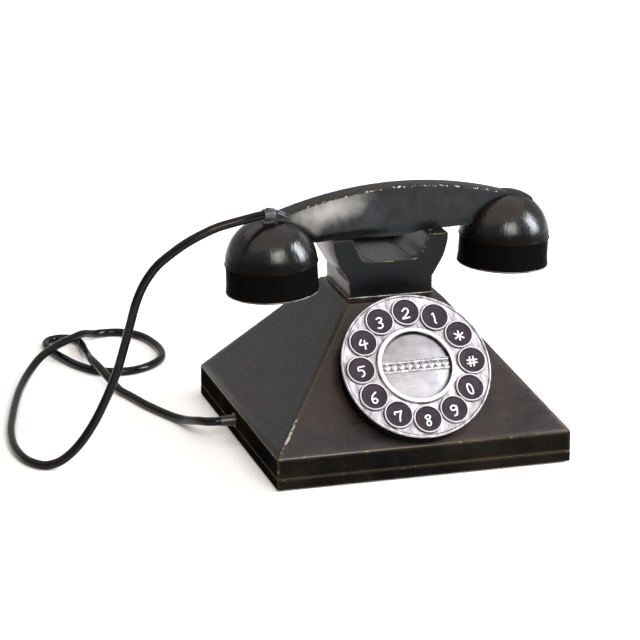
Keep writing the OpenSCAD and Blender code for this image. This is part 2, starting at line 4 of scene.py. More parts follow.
import bmesh
import bpy
from mathutils import Matrix, Vector, noise
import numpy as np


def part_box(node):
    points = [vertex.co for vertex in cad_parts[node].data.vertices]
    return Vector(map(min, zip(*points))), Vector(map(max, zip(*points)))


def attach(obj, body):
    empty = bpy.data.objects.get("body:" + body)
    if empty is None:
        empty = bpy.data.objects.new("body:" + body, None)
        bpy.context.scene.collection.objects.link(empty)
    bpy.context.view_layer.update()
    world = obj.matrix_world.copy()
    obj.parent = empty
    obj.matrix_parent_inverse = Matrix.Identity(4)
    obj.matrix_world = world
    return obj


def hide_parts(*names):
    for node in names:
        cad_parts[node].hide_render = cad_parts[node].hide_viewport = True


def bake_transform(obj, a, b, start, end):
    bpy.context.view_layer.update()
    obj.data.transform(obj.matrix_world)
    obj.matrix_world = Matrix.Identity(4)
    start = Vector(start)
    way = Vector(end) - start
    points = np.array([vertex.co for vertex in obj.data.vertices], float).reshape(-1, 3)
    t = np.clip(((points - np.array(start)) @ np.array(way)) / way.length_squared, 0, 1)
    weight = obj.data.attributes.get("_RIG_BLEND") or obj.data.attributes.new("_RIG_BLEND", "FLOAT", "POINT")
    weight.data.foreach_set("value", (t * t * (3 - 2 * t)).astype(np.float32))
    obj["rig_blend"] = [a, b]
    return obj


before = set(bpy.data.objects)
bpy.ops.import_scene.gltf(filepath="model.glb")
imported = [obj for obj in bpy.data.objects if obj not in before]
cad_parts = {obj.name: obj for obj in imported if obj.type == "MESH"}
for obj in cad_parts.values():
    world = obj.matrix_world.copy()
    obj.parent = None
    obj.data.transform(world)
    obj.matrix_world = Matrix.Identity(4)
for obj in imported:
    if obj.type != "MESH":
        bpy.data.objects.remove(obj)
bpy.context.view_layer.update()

bl_info = {
    "name": "Desk Telephone",
    "version": (1, 0, 0),
    "blender": (4, 5, 0),
    "location": "View3D > Sidebar > Telephone",
    "description": "Builds a pyramid desk telephone on its packed frame",
    "category": "Object",
}

MM = 0.001                      # lengths below are in millimetres; meshes are scaled once, at the end


def low(name, axis):
    """Lowest reach of a frame node along an axis, in millimetres."""
    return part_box(name)[0][axis] / MM


def high(name, axis):
    """Highest reach of a frame node along an axis, in millimetres."""
    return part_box(name)[1][axis] / MM


# ---------- sizes that the frame gives ----------
BASE_X = (low("base_tray", 0) + high("base_tray", 0)) / 2
BASE_Y = (low("base_tray", 1) + high("base_tray", 1)) / 2
HALF = (high("base_tray", 0) - low("base_tray", 0)) / 2
FOOT_H = high("feet", 2)
TRAY_TOP = low("housing_shell", 2)
TOP_Z = high("housing_shell", 2)
PRONG_Z = high("cradle_front", 2)
PRONG_HALF = (high("cradle_front", 0) - low("cradle_front", 0)) / 2
CRADLE_FRONT = low("cradle_front", 1)
CRADLE_BACK = high("cradle_back", 1)
CROWN_Z = high("grip_strap", 2)
BOOT = BASE_X - HALF - low("cord_gland", 0)

# ---------- sizes of the pieces ----------
SHEET = 1.5                     # sheet of the housing
PLATE = 1.2                     # sheet of cradle and grip
PLINTH_H = 21
TOP_HALF = 31
SLOPE = atan2(TOP_Z - PLINTH_H, HALF - TOP_HALF)
POST = HALF - 12                # the tray's posts, from the middle
FOOT_AT = POST - 16             # the feet, from the middle
DIAL_R = 47.6
DIAL_UP = 47.9                  # the dial's middle, up the slope from its foot
FACE_Z = 11.5
DIAL_T = FACE_Z + 2.0
KEY_RING = 35.9
KEY_R = 7.88
KEY_BORE = 7.95
COLLAR_R = 9.25
COLLAR_H = 1.3
RING_OUT = KEY_RING - COLLAR_R - 1.42
RING_IN = RING_OUT - 3
KEY_TOP = DIAL_T + COLLAR_H - 0.6
CARD_Z = DIAL_T - 0.9
CRADLE_HALF = 27.3
CRADLE_H = PRONG_Z - TOP_Z
NOTCH_HALF = 25.2
NOTCH_D = 15.5
NOTCH_LIP = 3.4                 # how far the back plate stands over the notch's floor
HOOK_X = 29
ROD_R = 3.4                     # the hook's rod has room in this bore
CUP_X = 80.8
CUP_Z = 122.6
DOME_R = 29
LIP_R = 29.4
SKIRT_H = 18.2
SPLAY = radians(2.8)
YAW = radians(7)
HANDSET_Y = BASE_Y - 8
GRIP_HALF = 6.2
ARCH_R = 265
GRIP_Z = PRONG_Z + 0.3
BELLY = 1.5                     # dip of the grip between the prongs, and half its length
BELLY_HALF = 20
CORD_R = 2.8
LEAD_Y = -7
STRAP_T = 1.2
BAND_T = 0.9
LEAD_Z = CUP_Z + sqrt((DOME_R + STRAP_T + BAND_T + CORD_R + 0.05) ** 2 - LEAD_Y ** 2)
CLIP_X = -CUP_X - 4.6
GLAND_Y = 4
GLAND_Z = 13.3
JACK_X = 30
JACK_Z = 14
FLOOR_HALF = 4000
FAR_BELOW = -1e9
CRISP = 32                      # folds sharper than this many degrees are drawn crisp
KEYS = ["2", "1", "star", "hash", "0", "9", "8", "7", "6", "5", "4", "3"]    # clockwise from the dial's top


# ---------- places, in millimetres ----------
def shift(x, y, z):
    return Matrix.Translation((x, y, z))


def turn(angle, axis):
    return Matrix.Rotation(angle, 4, axis)


BASE = shift(BASE_X, BASE_Y, 0)
DIAL = shift(BASE_X, BASE_Y - HALF + DIAL_UP * cos(SLOPE), PLINTH_H + DIAL_UP * sin(SLOPE)) @ turn(SLOPE, "X")
HANDSET = shift(0, HANDSET_Y, 0) @ turn(YAW, "Z")
GLAND = BASE @ shift(-HALF, GLAND_Y, GLAND_Z) @ turn(-pi / 2, "Y")
CUPS = {side: HANDSET @ shift(side * CUP_X, 0, CUP_Z) @ turn(side * SPLAY, "Y") for side in (-1, 1)}


def key_place(index):
    angle = 2 * pi * index / len(KEYS)
    return DIAL @ shift(KEY_RING * sin(angle), KEY_RING * cos(angle), 0)


# ---------- colours and nodes ----------
def hex_linear(code):
    """An sRGB hex colour as linear red, green, blue, alpha."""
    channels = [int(code[i:i + 2], 16) / 255 for i in (1, 3, 5)]
    return tuple(c / 12.92 if c <= 0.04045 else ((c + 0.055) / 1.055) ** 2.4 for c in channels) + (1.0,)


def colour(code):
    """An sRGB hex colour, or one of the user's colours by its name, as linear red, green, blue, alpha."""
    return hex_linear(code) if code[0] == "#" else tuple(getattr(bpy.context.scene.telephone_colours, code))


def fill(tree, inputs, values):
    """Links or sets input sockets, each given by its identifier or by its name with _ for a space."""
    for key, value in values.items():
        socket = next((s for s in inputs if s.identifier == key), None) or inputs[key.replace("_", " ")]
        for source in value if isinstance(value, list) else [value]:
            if isinstance(source, bpy.types.NodeSocket):
                tree.links.new(source, socket)
            else:
                socket.default_value = colour(source) if isinstance(source, str) else source


# the sockets that the unnamed values of a node go into, in turn
ORDER = {
    "Mix": "A_Color B_Color Factor_Float", "Math": "Value Value_001 Value_002", "VectorMath": "Vector Vector_001",
    "MapRange": "Value From_Min From_Max To_Min To_Max", "TexNoise": "Scale Detail Roughness",
    "Bump": "Height Strength Distance Normal", "CombineXYZ": "X Y Z", "SeparateXYZ": "Vector",
    "Mapping": "Vector Location Rotation Scale", "InstanceOnPoints": "Points Instance",
}


def node(tree, kind, *values, settings=(), out=0, **sockets):
    """Adds a node, sets its properties, fills its sockets and gives one of its outputs.

    The operation of a Math node is the first of its values. A list goes into one socket, link by link.
    """
    family = "GeometryNode" if tree.type == "GEOMETRY" and hasattr(bpy.types, "GeometryNode" + kind) else "ShaderNode"
    added = tree.nodes.new(kind if "Node" in kind else family + kind)
    if kind == "Mix":
        added.data_type, out = "RGBA", 2
    if kind.endswith("Math"):
        added.operation, *values = values
    for key, value in dict(settings).items():
        setattr(added, key, value)
    fill(tree, added.inputs, dict(zip(ORDER.get(kind, "").split(), values), **sockets))
    return added.outputs[out] if out is not None and added.outputs else added


def per_mm(size):
    """Texture scale whose features are about that many millimetres, on object coordinates in metres."""
    return 1 / (size * MM)


class Finish:
    """A material under construction: its tree, its shader and its object coordinates in metres."""

    def __init__(self, name):
        self.material = bpy.data.materials.new(name)
        self.material.use_nodes = True
        self.tree = self.material.node_tree
        self.tree.nodes.clear()
        self.shader = node(self.tree, "BsdfPrincipled", out=None)
        self.add("OutputMaterial", Surface=self.shader.outputs[0])
        self.coords = self.add("TexCoord", out="Object")

    def add(self, kind, *values, **others):
        """Adds a node. A noise's first value is the size of its features in millimetres.

        It lies on the object's coordinates unless told otherwise.
        """
        if kind == "TexNoise":
            values = (per_mm(values[0]), *values[1:])
            others.setdefault("Vector", self.coords)
        return node(self.tree, kind, *values, **others)

    def done(self, **sockets):
        """Fills or links the shader's own sockets."""
        fill(self.tree, self.shader.inputs, sockets)


# ---------- mesh helpers, in millimetres ----------
def recalculated(bm):
    bmesh.ops.remove_doubles(bm, verts=bm.verts[:], dist=0.0005)
    bmesh.ops.recalc_face_normals(bm, faces=bm.faces[:])


def circle(radius, count, first=0, last=None):
    """Points on a circle cut in count equal steps: all of them, or those from first to last."""
    steps = range(first, count if last is None else last)
    return [(radius * cos(2 * pi * k / count), radius * sin(2 * pi * k / count)) for k in steps]


def bridge(bm, rings):
    """Faces between rings of points, of which any may be a single point."""
    for below, above in zip(rings, rings[1:]):
        count = max(len(below), len(above))
        for k in range(count):
            j = (k + 1) % count
            corners = dict.fromkeys((below[k % len(below)], below[j % len(below)], above[j % len(above)],
                                     above[k % len(above)]))
            if len(corners) > 2:
                bm.faces.new(list(corners))
    return bm


def lathe(profile, segments=96):
    """Solid of revolution about Z from (radius, height) points, whose ends lie on the axis or meet."""
    bm = bmesh.new()
    rings = [[bm.verts.new((x, y, height)) for x, y in circle(radius, segments if radius > 1e-6 else 1)]
             for radius, height in profile]
    if rings[0][0].co != rings[-1][0].co and len(rings[0]) > 1:
        rings.append(rings[0])
    return bridge(bm, rings)


def rod(radius, bottom, top, segments=64):
    return lathe([(0, bottom), (radius, bottom), (radius, top), (0, top)], segments)


def eased(points, radius, steps=3, closed=False):
    """The outline with each corner eased by a short curve; the ends of an open one stay."""
    points = [Vector(p) for p in points]
    out = []
    for i, corner in enumerate(points):
        if not closed and i in (0, len(points) - 1):
            out.append(corner)
            continue
        before, after = points[i - 1] - corner, points[(i + 1) % len(points)] - corner
        cut = min(radius, before.length * 0.45, after.length * 0.45)
        start, end = corner + before.normalized() * cut, corner + after.normalized() * cut
        for k in range(steps + 1):
            t = k / steps
            out.append(start * (1 - t) ** 2 + corner * 2 * t * (1 - t) + end * t * t)
    return out


def slab(outline, near, far):
    """An outline in X and Z given thickness along Y, from near to far."""
    bm = bmesh.new()
    front, back = [[bm.verts.new((x, y, z)) for x, z in outline] for y in (near, far)]
    bm.faces.new(front)
    bm.faces.new(back[::-1])
    return bridge(bm, (front, back))


def stack(*rings):
    """Closed block through rectangles (half width, half depth, height)."""
    bm = bmesh.new()
    levels = [[bm.verts.new((sx * x, sy * y, z)) for sx, sy in ((-1, -1), (1, -1), (1, 1), (-1, 1))]
              for x, y, z in rings]
    bm.faces.new(levels[0][::-1])
    bm.faces.new(levels[-1])
    return bridge(bm, levels)


def box(half_x, half_y, bottom, top):
    return stack((half_x, half_y, bottom), (half_x, half_y, top))


def soften(bm, width, reach, angle=20):
    """Rounds the crisp edges and marks, in the attribute wear, how near a point is to one."""
    recalculated(bm)
    wear = bm.verts.layers.float.get("wear") or bm.verts.layers.float.new("wear")
    crisp = [e for e in bm.edges if e.is_manifold and e.calc_face_angle(0) > radians(angle)]
    bmesh.ops.bevel(bm, geom=crisp, offset=width, offset_type="OFFSET", segments=2, profile=0.5,
                    affect="EDGES", clamp_overlap=True)
    for vert in bm.verts:
        vert[wear] = 1.0
    flats = [f for f in bm.faces if 2 * f.calc_area() / f.calc_perimeter() > 1.2 * reach]
    bmesh.ops.inset_individual(bm, faces=flats, thickness=reach, use_even_offset=True)
    for face in flats:
        for vert in face.verts:
            vert[wear] = 0.0
    return bm


def sheet_grid(columns, rows, point, thickness, wear_at=None):
    """Closed curved plate: point(u, v) gives its outer face, and thickness a vector to its inner face."""
    bm = bmesh.new()
    wear = bm.verts.layers.float.new("wear")
    skins = []
    for offset in (Vector(), Vector(thickness)):
        skins.append([[bm.verts.new(Vector(point(i / columns, j / rows)) + offset) for j in range(rows + 1)]
                      for i in range(columns + 1)])
        if wear_at:
            for i, line in enumerate(skins[-1]):
                for j, vert in enumerate(line):
                    vert[wear] = wear_at(i / columns, j / rows)
    outer, inner = skins
    for i in range(columns):
        for j in range(rows):
            bm.faces.new((outer[i][j], outer[i + 1][j], outer[i + 1][j + 1], outer[i][j + 1]))
            bm.faces.new((inner[i][j], inner[i][j + 1], inner[i + 1][j + 1], inner[i + 1][j]))
    rim = ([(i, 0) for i in range(columns)] + [(columns, j) for j in range(rows)]
           + [(i, rows) for i in range(columns, 0, -1)] + [(0, j) for j in range(rows, 0, -1)])
    return bridge(bm, [[skin[i][j] for i, j in rim] for skin in skins])


def smooth_path(points, per_span):
    """Points on one smooth curve through all the given points (Catmull-Rom)."""
    points = [Vector(p) for p in points]
    ends = [points[0] * 2 - points[1]] + points + [points[-1] * 2 - points[-2]]
    path = []
    for a, b, c, d in zip(ends, ends[1:], ends[2:], ends[3:]):
        for k in range(per_span):
            t = k / per_span
            path.append(0.5 * (2 * b + (c - a) * t + (2 * a - 5 * b + 4 * c - d) * t * t
                               + (3 * b - a - 3 * c + d) * t ** 3))
    return path + [points[-1]]


def swept(path, section, bm=None, up=(0, 0, 1), closed=False, scales=None):
    """Sweeps a closed section, (across, above) points, along a path with flat ends."""
    bm = bm or bmesh.new()
    rings, count = [], len(path)
    for i, point in enumerate(path):
        ahead = path[(i + 1) % count if closed else min(count - 1, i + 1)]
        behind = path[(i - 1) % count if closed else max(0, i - 1)]
        along = (ahead - behind).normalized()
        side = along.cross(Vector(up)).normalized()
        above = side.cross(along)
        size = scales[i] if scales else 1.0
        rings.append([bm.verts.new(point + side * (x * size) + above * (z * size)) for x, z in section])
    bridge(bm, rings + rings[:1] * closed)
    if not closed:
        bm.faces.new(rings[0][::-1])
        bm.faces.new(rings[-1])
    return bm


def smoothed(mesh, sharp=CRISP):
    """The mesh, smooth except across folds sharper than that many degrees."""
    mesh.shade_smooth()
    mesh.set_sharp_from_angle(angle=radians(sharp))
    return mesh


def to_mesh(name, bm, materials, place=None, sharp=CRISP):
    """Writes the millimetre mesh, moved to its place, in metres."""
    recalculated(bm)
    if place is not None:
        bm.transform(place)
    bm.transform(Matrix.Scale(MM, 4))
    mesh = bpy.data.meshes.new(name)
    bm.to_mesh(mesh)
    bm.free()
    for material in materials:
        mesh.materials.append(material)
    return smoothed(mesh, sharp)


def linked(name, data):
    """A new object in the scene that shows the mesh, light or camera."""
    thing = bpy.data.objects.new(name, data)
    bpy.context.scene.collection.objects.link(thing)
    return thing


def add_piece(name, mesh, body, slot, *replaced):
    """Adds the finished mesh as a piece at the origin, riding on its body."""
    piece = linked(name, mesh)
    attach(piece, body)
    if replaced:
        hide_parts(*replaced)


def build(name, bm, materials, body, slot, *replaced, place=None, sharp=CRISP):
    add_piece(name, to_mesh(name, bm, materials, place, sharp), body, slot, *replaced)


def evaluated(thing, all_layers):
    """The plain mesh that the object's modifiers give; the object goes."""
    graph = bpy.context.evaluated_depsgraph_get()
    mesh = bpy.data.meshes.new_from_object(thing.evaluated_get(graph), preserve_all_data_layers=all_layers,
                                           depsgraph=graph)
    bpy.data.objects.remove(thing)
    return mesh


def carve(mesh, cutters, operation="DIFFERENCE"):
    """Cuts solids out of the metre mesh, or adds them to it, and returns the new mesh.

    A solid is a mesh in metres, or a millimetre mesh with its place.
    """
    work = linked("work", mesh)
    tools = [linked("cutter", to_mesh("cutter", cut[0], (), cut[1]) if isinstance(cut, tuple) else cut)
             for cut in cutters]
    for tool in tools:
        cut = work.modifiers.new("cut", "BOOLEAN")
        cut.operation, cut.object, cut.solver = operation, tool, "EXACT"
    result = evaluated(work, True)
    for tool in tools:
        bpy.data.objects.remove(tool)
    result.name = mesh.name
    return result


def carved_soft(mesh, cutters, width, reach, angle):
    """Carves the crisp mesh first and rounds its edges afterwards; gives it back in millimetres, in place."""
    bm = bmesh.new()
    bm.from_mesh(carve(mesh, cutters))
    bmesh.ops.scale(bm, vec=(1 / MM, 1 / MM, 1 / MM), verts=bm.verts)
    bmesh.ops.dissolve_limit(bm, angle_limit=radians(1), verts=bm.verts, edges=bm.edges)
    return soften(bm, width, reach, angle)


def joined(name, meshes, materials):
    """One mesh from several, keeping which material each face has by its place in materials."""
    bm = bmesh.new()
    for mesh in meshes:
        offset = [materials.index(m) for m in mesh.materials]
        start = len(bm.faces)
        bm.from_mesh(mesh)
        bm.faces.ensure_lookup_table()
        for face in bm.faces[start:]:
            face.material_index = offset[face.material_index] if offset else 0
    bmesh.ops.dissolve_degenerate(bm, dist=1e-6, edges=bm.edges)
    mesh = bpy.data.meshes.new(name)
    bm.to_mesh(mesh)
    bm.free()
    for material in materials:
        mesh.materials.append(material)
    return mesh


# ---------- geometry nodes ----------
SOCKETS = ((bpy.types.Material, "NodeSocketMaterial"), (bpy.types.Object, "NodeSocketObject"),
           (int, "NodeSocketInt"), (float, "NodeSocketFloat"))


def grown(name, build_tree, inputs, place, sharp=40, piece=None):
    """Runs a geometry tree made by build_tree with the named inputs, and returns its plain mesh.

    A piece, a mesh in metres, goes in as the input Piece.
    """
    if piece:
        piece.transform(Matrix.Scale(1 / MM, 4))
        inputs = {"Piece": linked("one_" + name, piece), **inputs}
    tree = bpy.data.node_groups.new(name, "GeometryNodeTree")
    tree.interface.new_socket("Geometry", in_out="OUTPUT", socket_type="NodeSocketGeometry")
    identifiers = {}
    for label, value in inputs.items():
        kind = next(socket for sort, socket in SOCKETS if isinstance(value, sort))
        identifiers[label] = tree.interface.new_socket(label, in_out="INPUT", socket_type=kind).identifier

    def add(*values, **sockets):
        return node(tree, *values, **sockets)

    entry = add("NodeGroupInput", out=None).outputs
    painted = add("SetMaterial", Material=entry["Material"],
                  Geometry=add("RealizeInstances", Geometry=build_tree(add, entry)))
    add("NodeGroupOutput", Geometry=painted)
    holder = linked(name, bpy.data.meshes.new(name))
    modifier = holder.modifiers.new(name, "NODES")
    modifier.node_group = tree
    for label, value in inputs.items():
        modifier[identifiers[label]] = value
    mesh = evaluated(holder, False)
    if piece:
        bpy.data.objects.remove(inputs["Piece"])
    mesh.materials.clear()
    mesh.materials.append(inputs["Material"])
    mesh.polygons.foreach_set("material_index", [0] * len(mesh.polygons))
    mesh.transform(Matrix.Scale(MM, 4) @ place)
    return smoothed(mesh, sharp)


def rounded_rings(add, entry):
    """Rings of rounded section, one on each point of a larger ring."""
    section = add("Transform", Geometry=add("CurvePrimitiveCircle", Resolution=14, Radius=1.0),
                  Scale=add("CombineXYZ", entry["Half Width"], entry["Height"], 1.0))
    ring = add("CurveToMesh", Profile_Curve=section,
               Curve=add("CurvePrimitiveCircle", Resolution=64, Radius=entry["Collar Radius"]))
    centres = add("MeshCircle", Vertices=entry["Count"], Radius=entry["Ring Radius"])
    return add("InstanceOnPoints", centres, ring)


def round_plugs(add, entry):
    """Upright round plugs: one in the middle, and rings of six, twelve and, where wanted, eighteen round it."""
    plug = add("MeshCylinder", Vertices=20, Radius=entry["Hole Radius"], Depth=entry["Depth"])
    plugs = [plug]
    for ring in (1, 2, 3):
        line = add("MeshCircle", Vertices=6 * ring, Radius=add("Math", "MULTIPLY", entry["Pitch"], ring))
        wanted = add("Math", "GREATER_THAN", entry["Rings"], ring - 0.5)
        plugs.append(add("InstanceOnPoints", line, plug, Selection=wanted))
    return add("JoinGeometry", Geometry=plugs)


def four_corners(add, entry):
    """The given piece at each corner of a square."""
    corners = add("MeshGrid", Size_X=entry["Spacing"], Size_Y=entry["Spacing"], Vertices_X=2, Vertices_Y=2)
    return add("InstanceOnPoints", corners, add("ObjectInfo", out="Geometry", Object=entry["Piece"]))


def band_pattern(add, entry):
    """Lozenges and beads in turn along a band, between two rows of small dentils."""
    lozenge = add("MeshCone", Vertices=4, Radius_Top=0.0, Radius_Bottom=entry["Lozenge"], Depth=entry["Relief"])
    bead = add("MeshUVSphere", Segments=14, Rings=7, Radius=entry["Bead"])
    dentil = add("MeshCube", Size=add("CombineXYZ", entry["Dentil"], entry["Dentil"], entry["Relief"]))
    rows = []
    for count, pitch, side, shape in (("Lozenges", "Pitch", 0.0, lozenge), ("Beads", "Pitch", 0.0, bead),
                                      ("Dentils", "Dentil Pitch", 1.0, dentil),
                                      ("Dentils", "Dentil Pitch", -1.0, dentil)):
        steps = add("Math", "MULTIPLY_ADD", entry[count], -0.5, 0.5)
        start = add("CombineXYZ", add("Math", "MULTIPLY", entry[pitch], steps),
                    add("Math", "MULTIPLY", entry["Row Offset"], side))
        line = add("MeshLine", settings={"mode": "OFFSET"}, Count=entry[count], Start_Location=start,
                   Offset=add("CombineXYZ", entry[pitch]))
        rows.append(add("InstanceOnPoints", line, shape))
    return add("JoinGeometry", Geometry=rows)


def row_of_pieces(add, entry):
    """Copies of the given piece in a row along X, each one scaled down or up by the taper."""
    line = add("MeshLine", settings={"mode": "OFFSET"}, Count=entry["Count"],
               Offset=add("CombineXYZ", entry["Pitch"]))
    size = add("Math", "MULTIPLY_ADD", add("InputIndex"), entry["Taper"], 1.0)
    return add("InstanceOnPoints", line, add("ObjectInfo", out="Geometry", Object=entry["Piece"]),
               Scale=add("CombineXYZ", 1.0, size, size))


# ---------- finishes ----------
SMOOTH = {"interpolation_type": "SMOOTHSTEP"}


def japan(coat, gloss, mottle, worn):
    """Black japan, an asphalt varnish brushed and baked on sheet steel.

    It gives a soft gloss with a brown-black mottle, slight dents, bronze where hands rubbed the edges, and a pale
    painted highlight along the foot of the left hip.
    """
    add = coat.add
    cloud = add("TexNoise", 34, 6.0, 0.62)
    spots = add("TexNoise", 4.5, 5.0, 0.6)
    ground = add("Mix", "japan", mottle, add("MapRange", cloud, 0.4, 0.72))
    edge = add("Attribute", settings={"attribute_name": "wear"}, out="Fac")
    thin = add("MapRange", edge, 0.7, 1.0, To_Max=0.75)
    ground = add("Mix", ground, "#3a2f1f", add("Math", "MULTIPLY", thin, cloud))
    chewed = add("Math", "ADD", spots, edge)
    # painted highlight: a pale line drawn along the foot of the left hip, above the plinth, near the corner's line
    corner = add("SeparateXYZ", add("Mapping", coat.coords, Rotation=(0, 0, 0.32)), out=None).outputs
    hip_highlight = 1.0
    for axis, none, full in ((2, PLINTH_H + 2, PLINTH_H + 4), (2, TOP_Z - 45, TOP_Z - 60),
                             (0, BASE_X - 35, BASE_X - 50)):
        hip_highlight = add("Math", "MULTIPLY", hip_highlight, add("MapRange", corner[axis], none * MM, full * MM))
    chewed = add("Math", "MULTIPLY_ADD", hip_highlight, 0.125, chewed)
    rubbed = add("MapRange", chewed, worn, worn + 0.1, settings=SMOOTH)
    # bronze on the rubbed edges, pale where the painted hip highlight lies
    bare = add("Mix", "bronze", "#a5a19c", hip_highlight)
    colour = add("Mix", ground, bare, rubbed)
    # dust and pin-prick chips, drawn coarser than real so that they show
    dust = add("MapRange", add("TexNoise", 0.8, 1.0), 0.77, 0.83, To_Max=0.5)
    colour = add("Mix", colour, "#8a8274", dust)
    streaks = add("TexNoise", 2.2, 3.0, Vector=add("Mapping", coat.coords, Scale=(0.12, 1.0, 1.0)))
    rough = add("MapRange", add("Math", "MULTIPLY_ADD", cloud, 1.4, streaks), 0.8, 1.7, 0.22, 0.42)
    dents = add("Bump", add("TexNoise", 26, 2.0), 0.5, 0.9 * MM)
    peel = add("TexNoise", 1.6, 3.0)
    normal = add("Bump", add("Math", "ADD", peel, streaks), 0.35, 0.06 * MM, dents)
    coat.done(Base_Color=colour, Roughness=rough, Normal=normal, Metallic=rubbed, Specular_IOR_Level=gloss)


def hammered(coat):
    """Black enamel over hammered sheet steel: shallow dents break the gloss into broad soft lights, and a broad pale
    patch is a painted highlight.
    """
    add = coat.add
    cells = add("TexVoronoi", settings={"feature": "SMOOTH_F1"}, Vector=coat.coords, Scale=per_mm(7.5),
                Smoothness=0.8)
    cloud = add("TexNoise", 11, 6.0, 0.66)
    grit = add("TexNoise", 1.1, 4.0, Vector=add("Mapping", coat.coords, Scale=(0.3, 1.0, 1.0)))
    ground = add("Mix", "#07080a", "#131518", add("MapRange", cloud, 0.42, 0.7))
    edge = add("Attribute", settings={"attribute_name": "wear"}, out="Fac")
    rubbed = add("MapRange", add("Math", "MULTIPLY_ADD", cloud, 1.1, edge), 1.6, 1.7, settings=SMOOTH)
    colour = add("Mix", ground, "#a8977a", rubbed)
    # painted highlight: a broad, streaky, pale metallic patch on the grip's left part near its top, on both plates,
    # drawn as bare steel showing through the enamel
    highlight_place = add("Mapping", coat.coords, settings={"vector_type": "TEXTURE"}, Rotation=(0, -0.2, 0),
               Location=(-0.046, 0, 0.1535), Scale=(0.034, 0.1, 0.0135))
    highlight_streaks = add("TexNoise", 9, 4.0, 0.5,
                Vector=add("Mapping", coat.coords, Scale=(1.0, 1.0, 0.7), Rotation=(0, 0.7, 0)))
    reach = add("Math", "MULTIPLY_ADD", highlight_streaks, -0.9, add("VectorMath", "LENGTH", highlight_place, out="Value"))
    bare = add("MapRange", reach, 0.6, -0.4, To_Max=0.66, settings=SMOOTH)
    # the painted highlight's pale colour
    colour = add("Mix", colour, "#979591", bare)
    dents = add("Bump", add("Math", "MULTIPLY_ADD", cloud, 0.8, cells), 0.4, 0.5 * MM)
    coat.done(Base_Color=colour, Roughness=add("MapRange", cloud, 0.3, 0.7, 0.3, 0.5), Specular_IOR_Level=0.22,
              Normal=add("Bump", grit, 0.4, 0.16 * MM, dents), Metallic=add("Math", "MAXIMUM", rubbed, bare))


def chipped(coat):
    """Black enamel on a thin strip whose edge is chipped to white primer and brass."""
    add = coat.add
    flakes = add("TexNoise", 1.5, 6.0, 0.7)
    edge = add("Attribute", settings={"attribute_name": "wear"}, out="Fac")
    chewed = add("Math", "ADD", flakes, edge)
    bare = add("Mix", "#8f7448", "#d8d4cc", add("MapRange", add("TexNoise", 9, 2.0), 0.42, 0.52))
    ground = add("Mix", "#0f0f0e", "#24221e", add("MapRange", flakes, 0.5, 0.75))
    coat.done(Base_Color=add("Mix", ground, bare, add("MapRange", chewed, 1.56, 1.62)), Specular_IOR_Level=0.25,
              Roughness=add("MapRange", flakes, 0.3, 0.7, 0.28, 0.5), Normal=add("Bump", chewed, 0.5, 0.2 * MM))


def phenolic(coat, gloss, film):
    """Compression-moulded black phenolic: a gloss with faint upright rubbing streaks.

    The gloss fades out towards the foot of the dome, which darkens it there: painted shade.
    """
    add = coat.add
    cloud = add("TexNoise", 16, 5.0, 0.6)
    hairs = add("TexNoise", 1.5, 4.0, Vector=add("Mapping", coat.coords, Scale=(1.0, 1.0, 0.1)))
    height = add("SeparateXYZ", coat.coords, out=2)
    seam = CUPS[1].translation.z
    # painted shade: the gloss dies away towards the dome's foot
    level = add("MapRange", height, (seam + 3) * MM, (seam + 13) * MM, gloss * 0.06, gloss, settings=SMOOTH)
    coat.done(Base_Color=add("Mix", "phenolic", film, cloud), Specular_IOR_Level=level,
              Roughness=add("MapRange", add("Math", "ADD", cloud, hairs), 0.75, 1.3, 0.13, 0.3),
              Normal=add("Bump", hairs, 0.5, 0.3 * MM))


def on_dial(coat):
    """Coordinates in metres from the dial's middle, Z along its axis."""
    return coat.add("Mapping", coat.coords, DIAL.translation * MM, (SLOPE, 0, 0), settings={"vector_type": "TEXTURE"})


def lee_of(add, way, direction, none, full, **bounds):
    """How far the way from a centre points in a direction, as a share from none to full."""
    side = add("VectorMath", "DOT_PRODUCT", add("VectorMath", "NORMALIZE", way), direction, out="Value")
    return add("MapRange", side, none, full, **bounds)


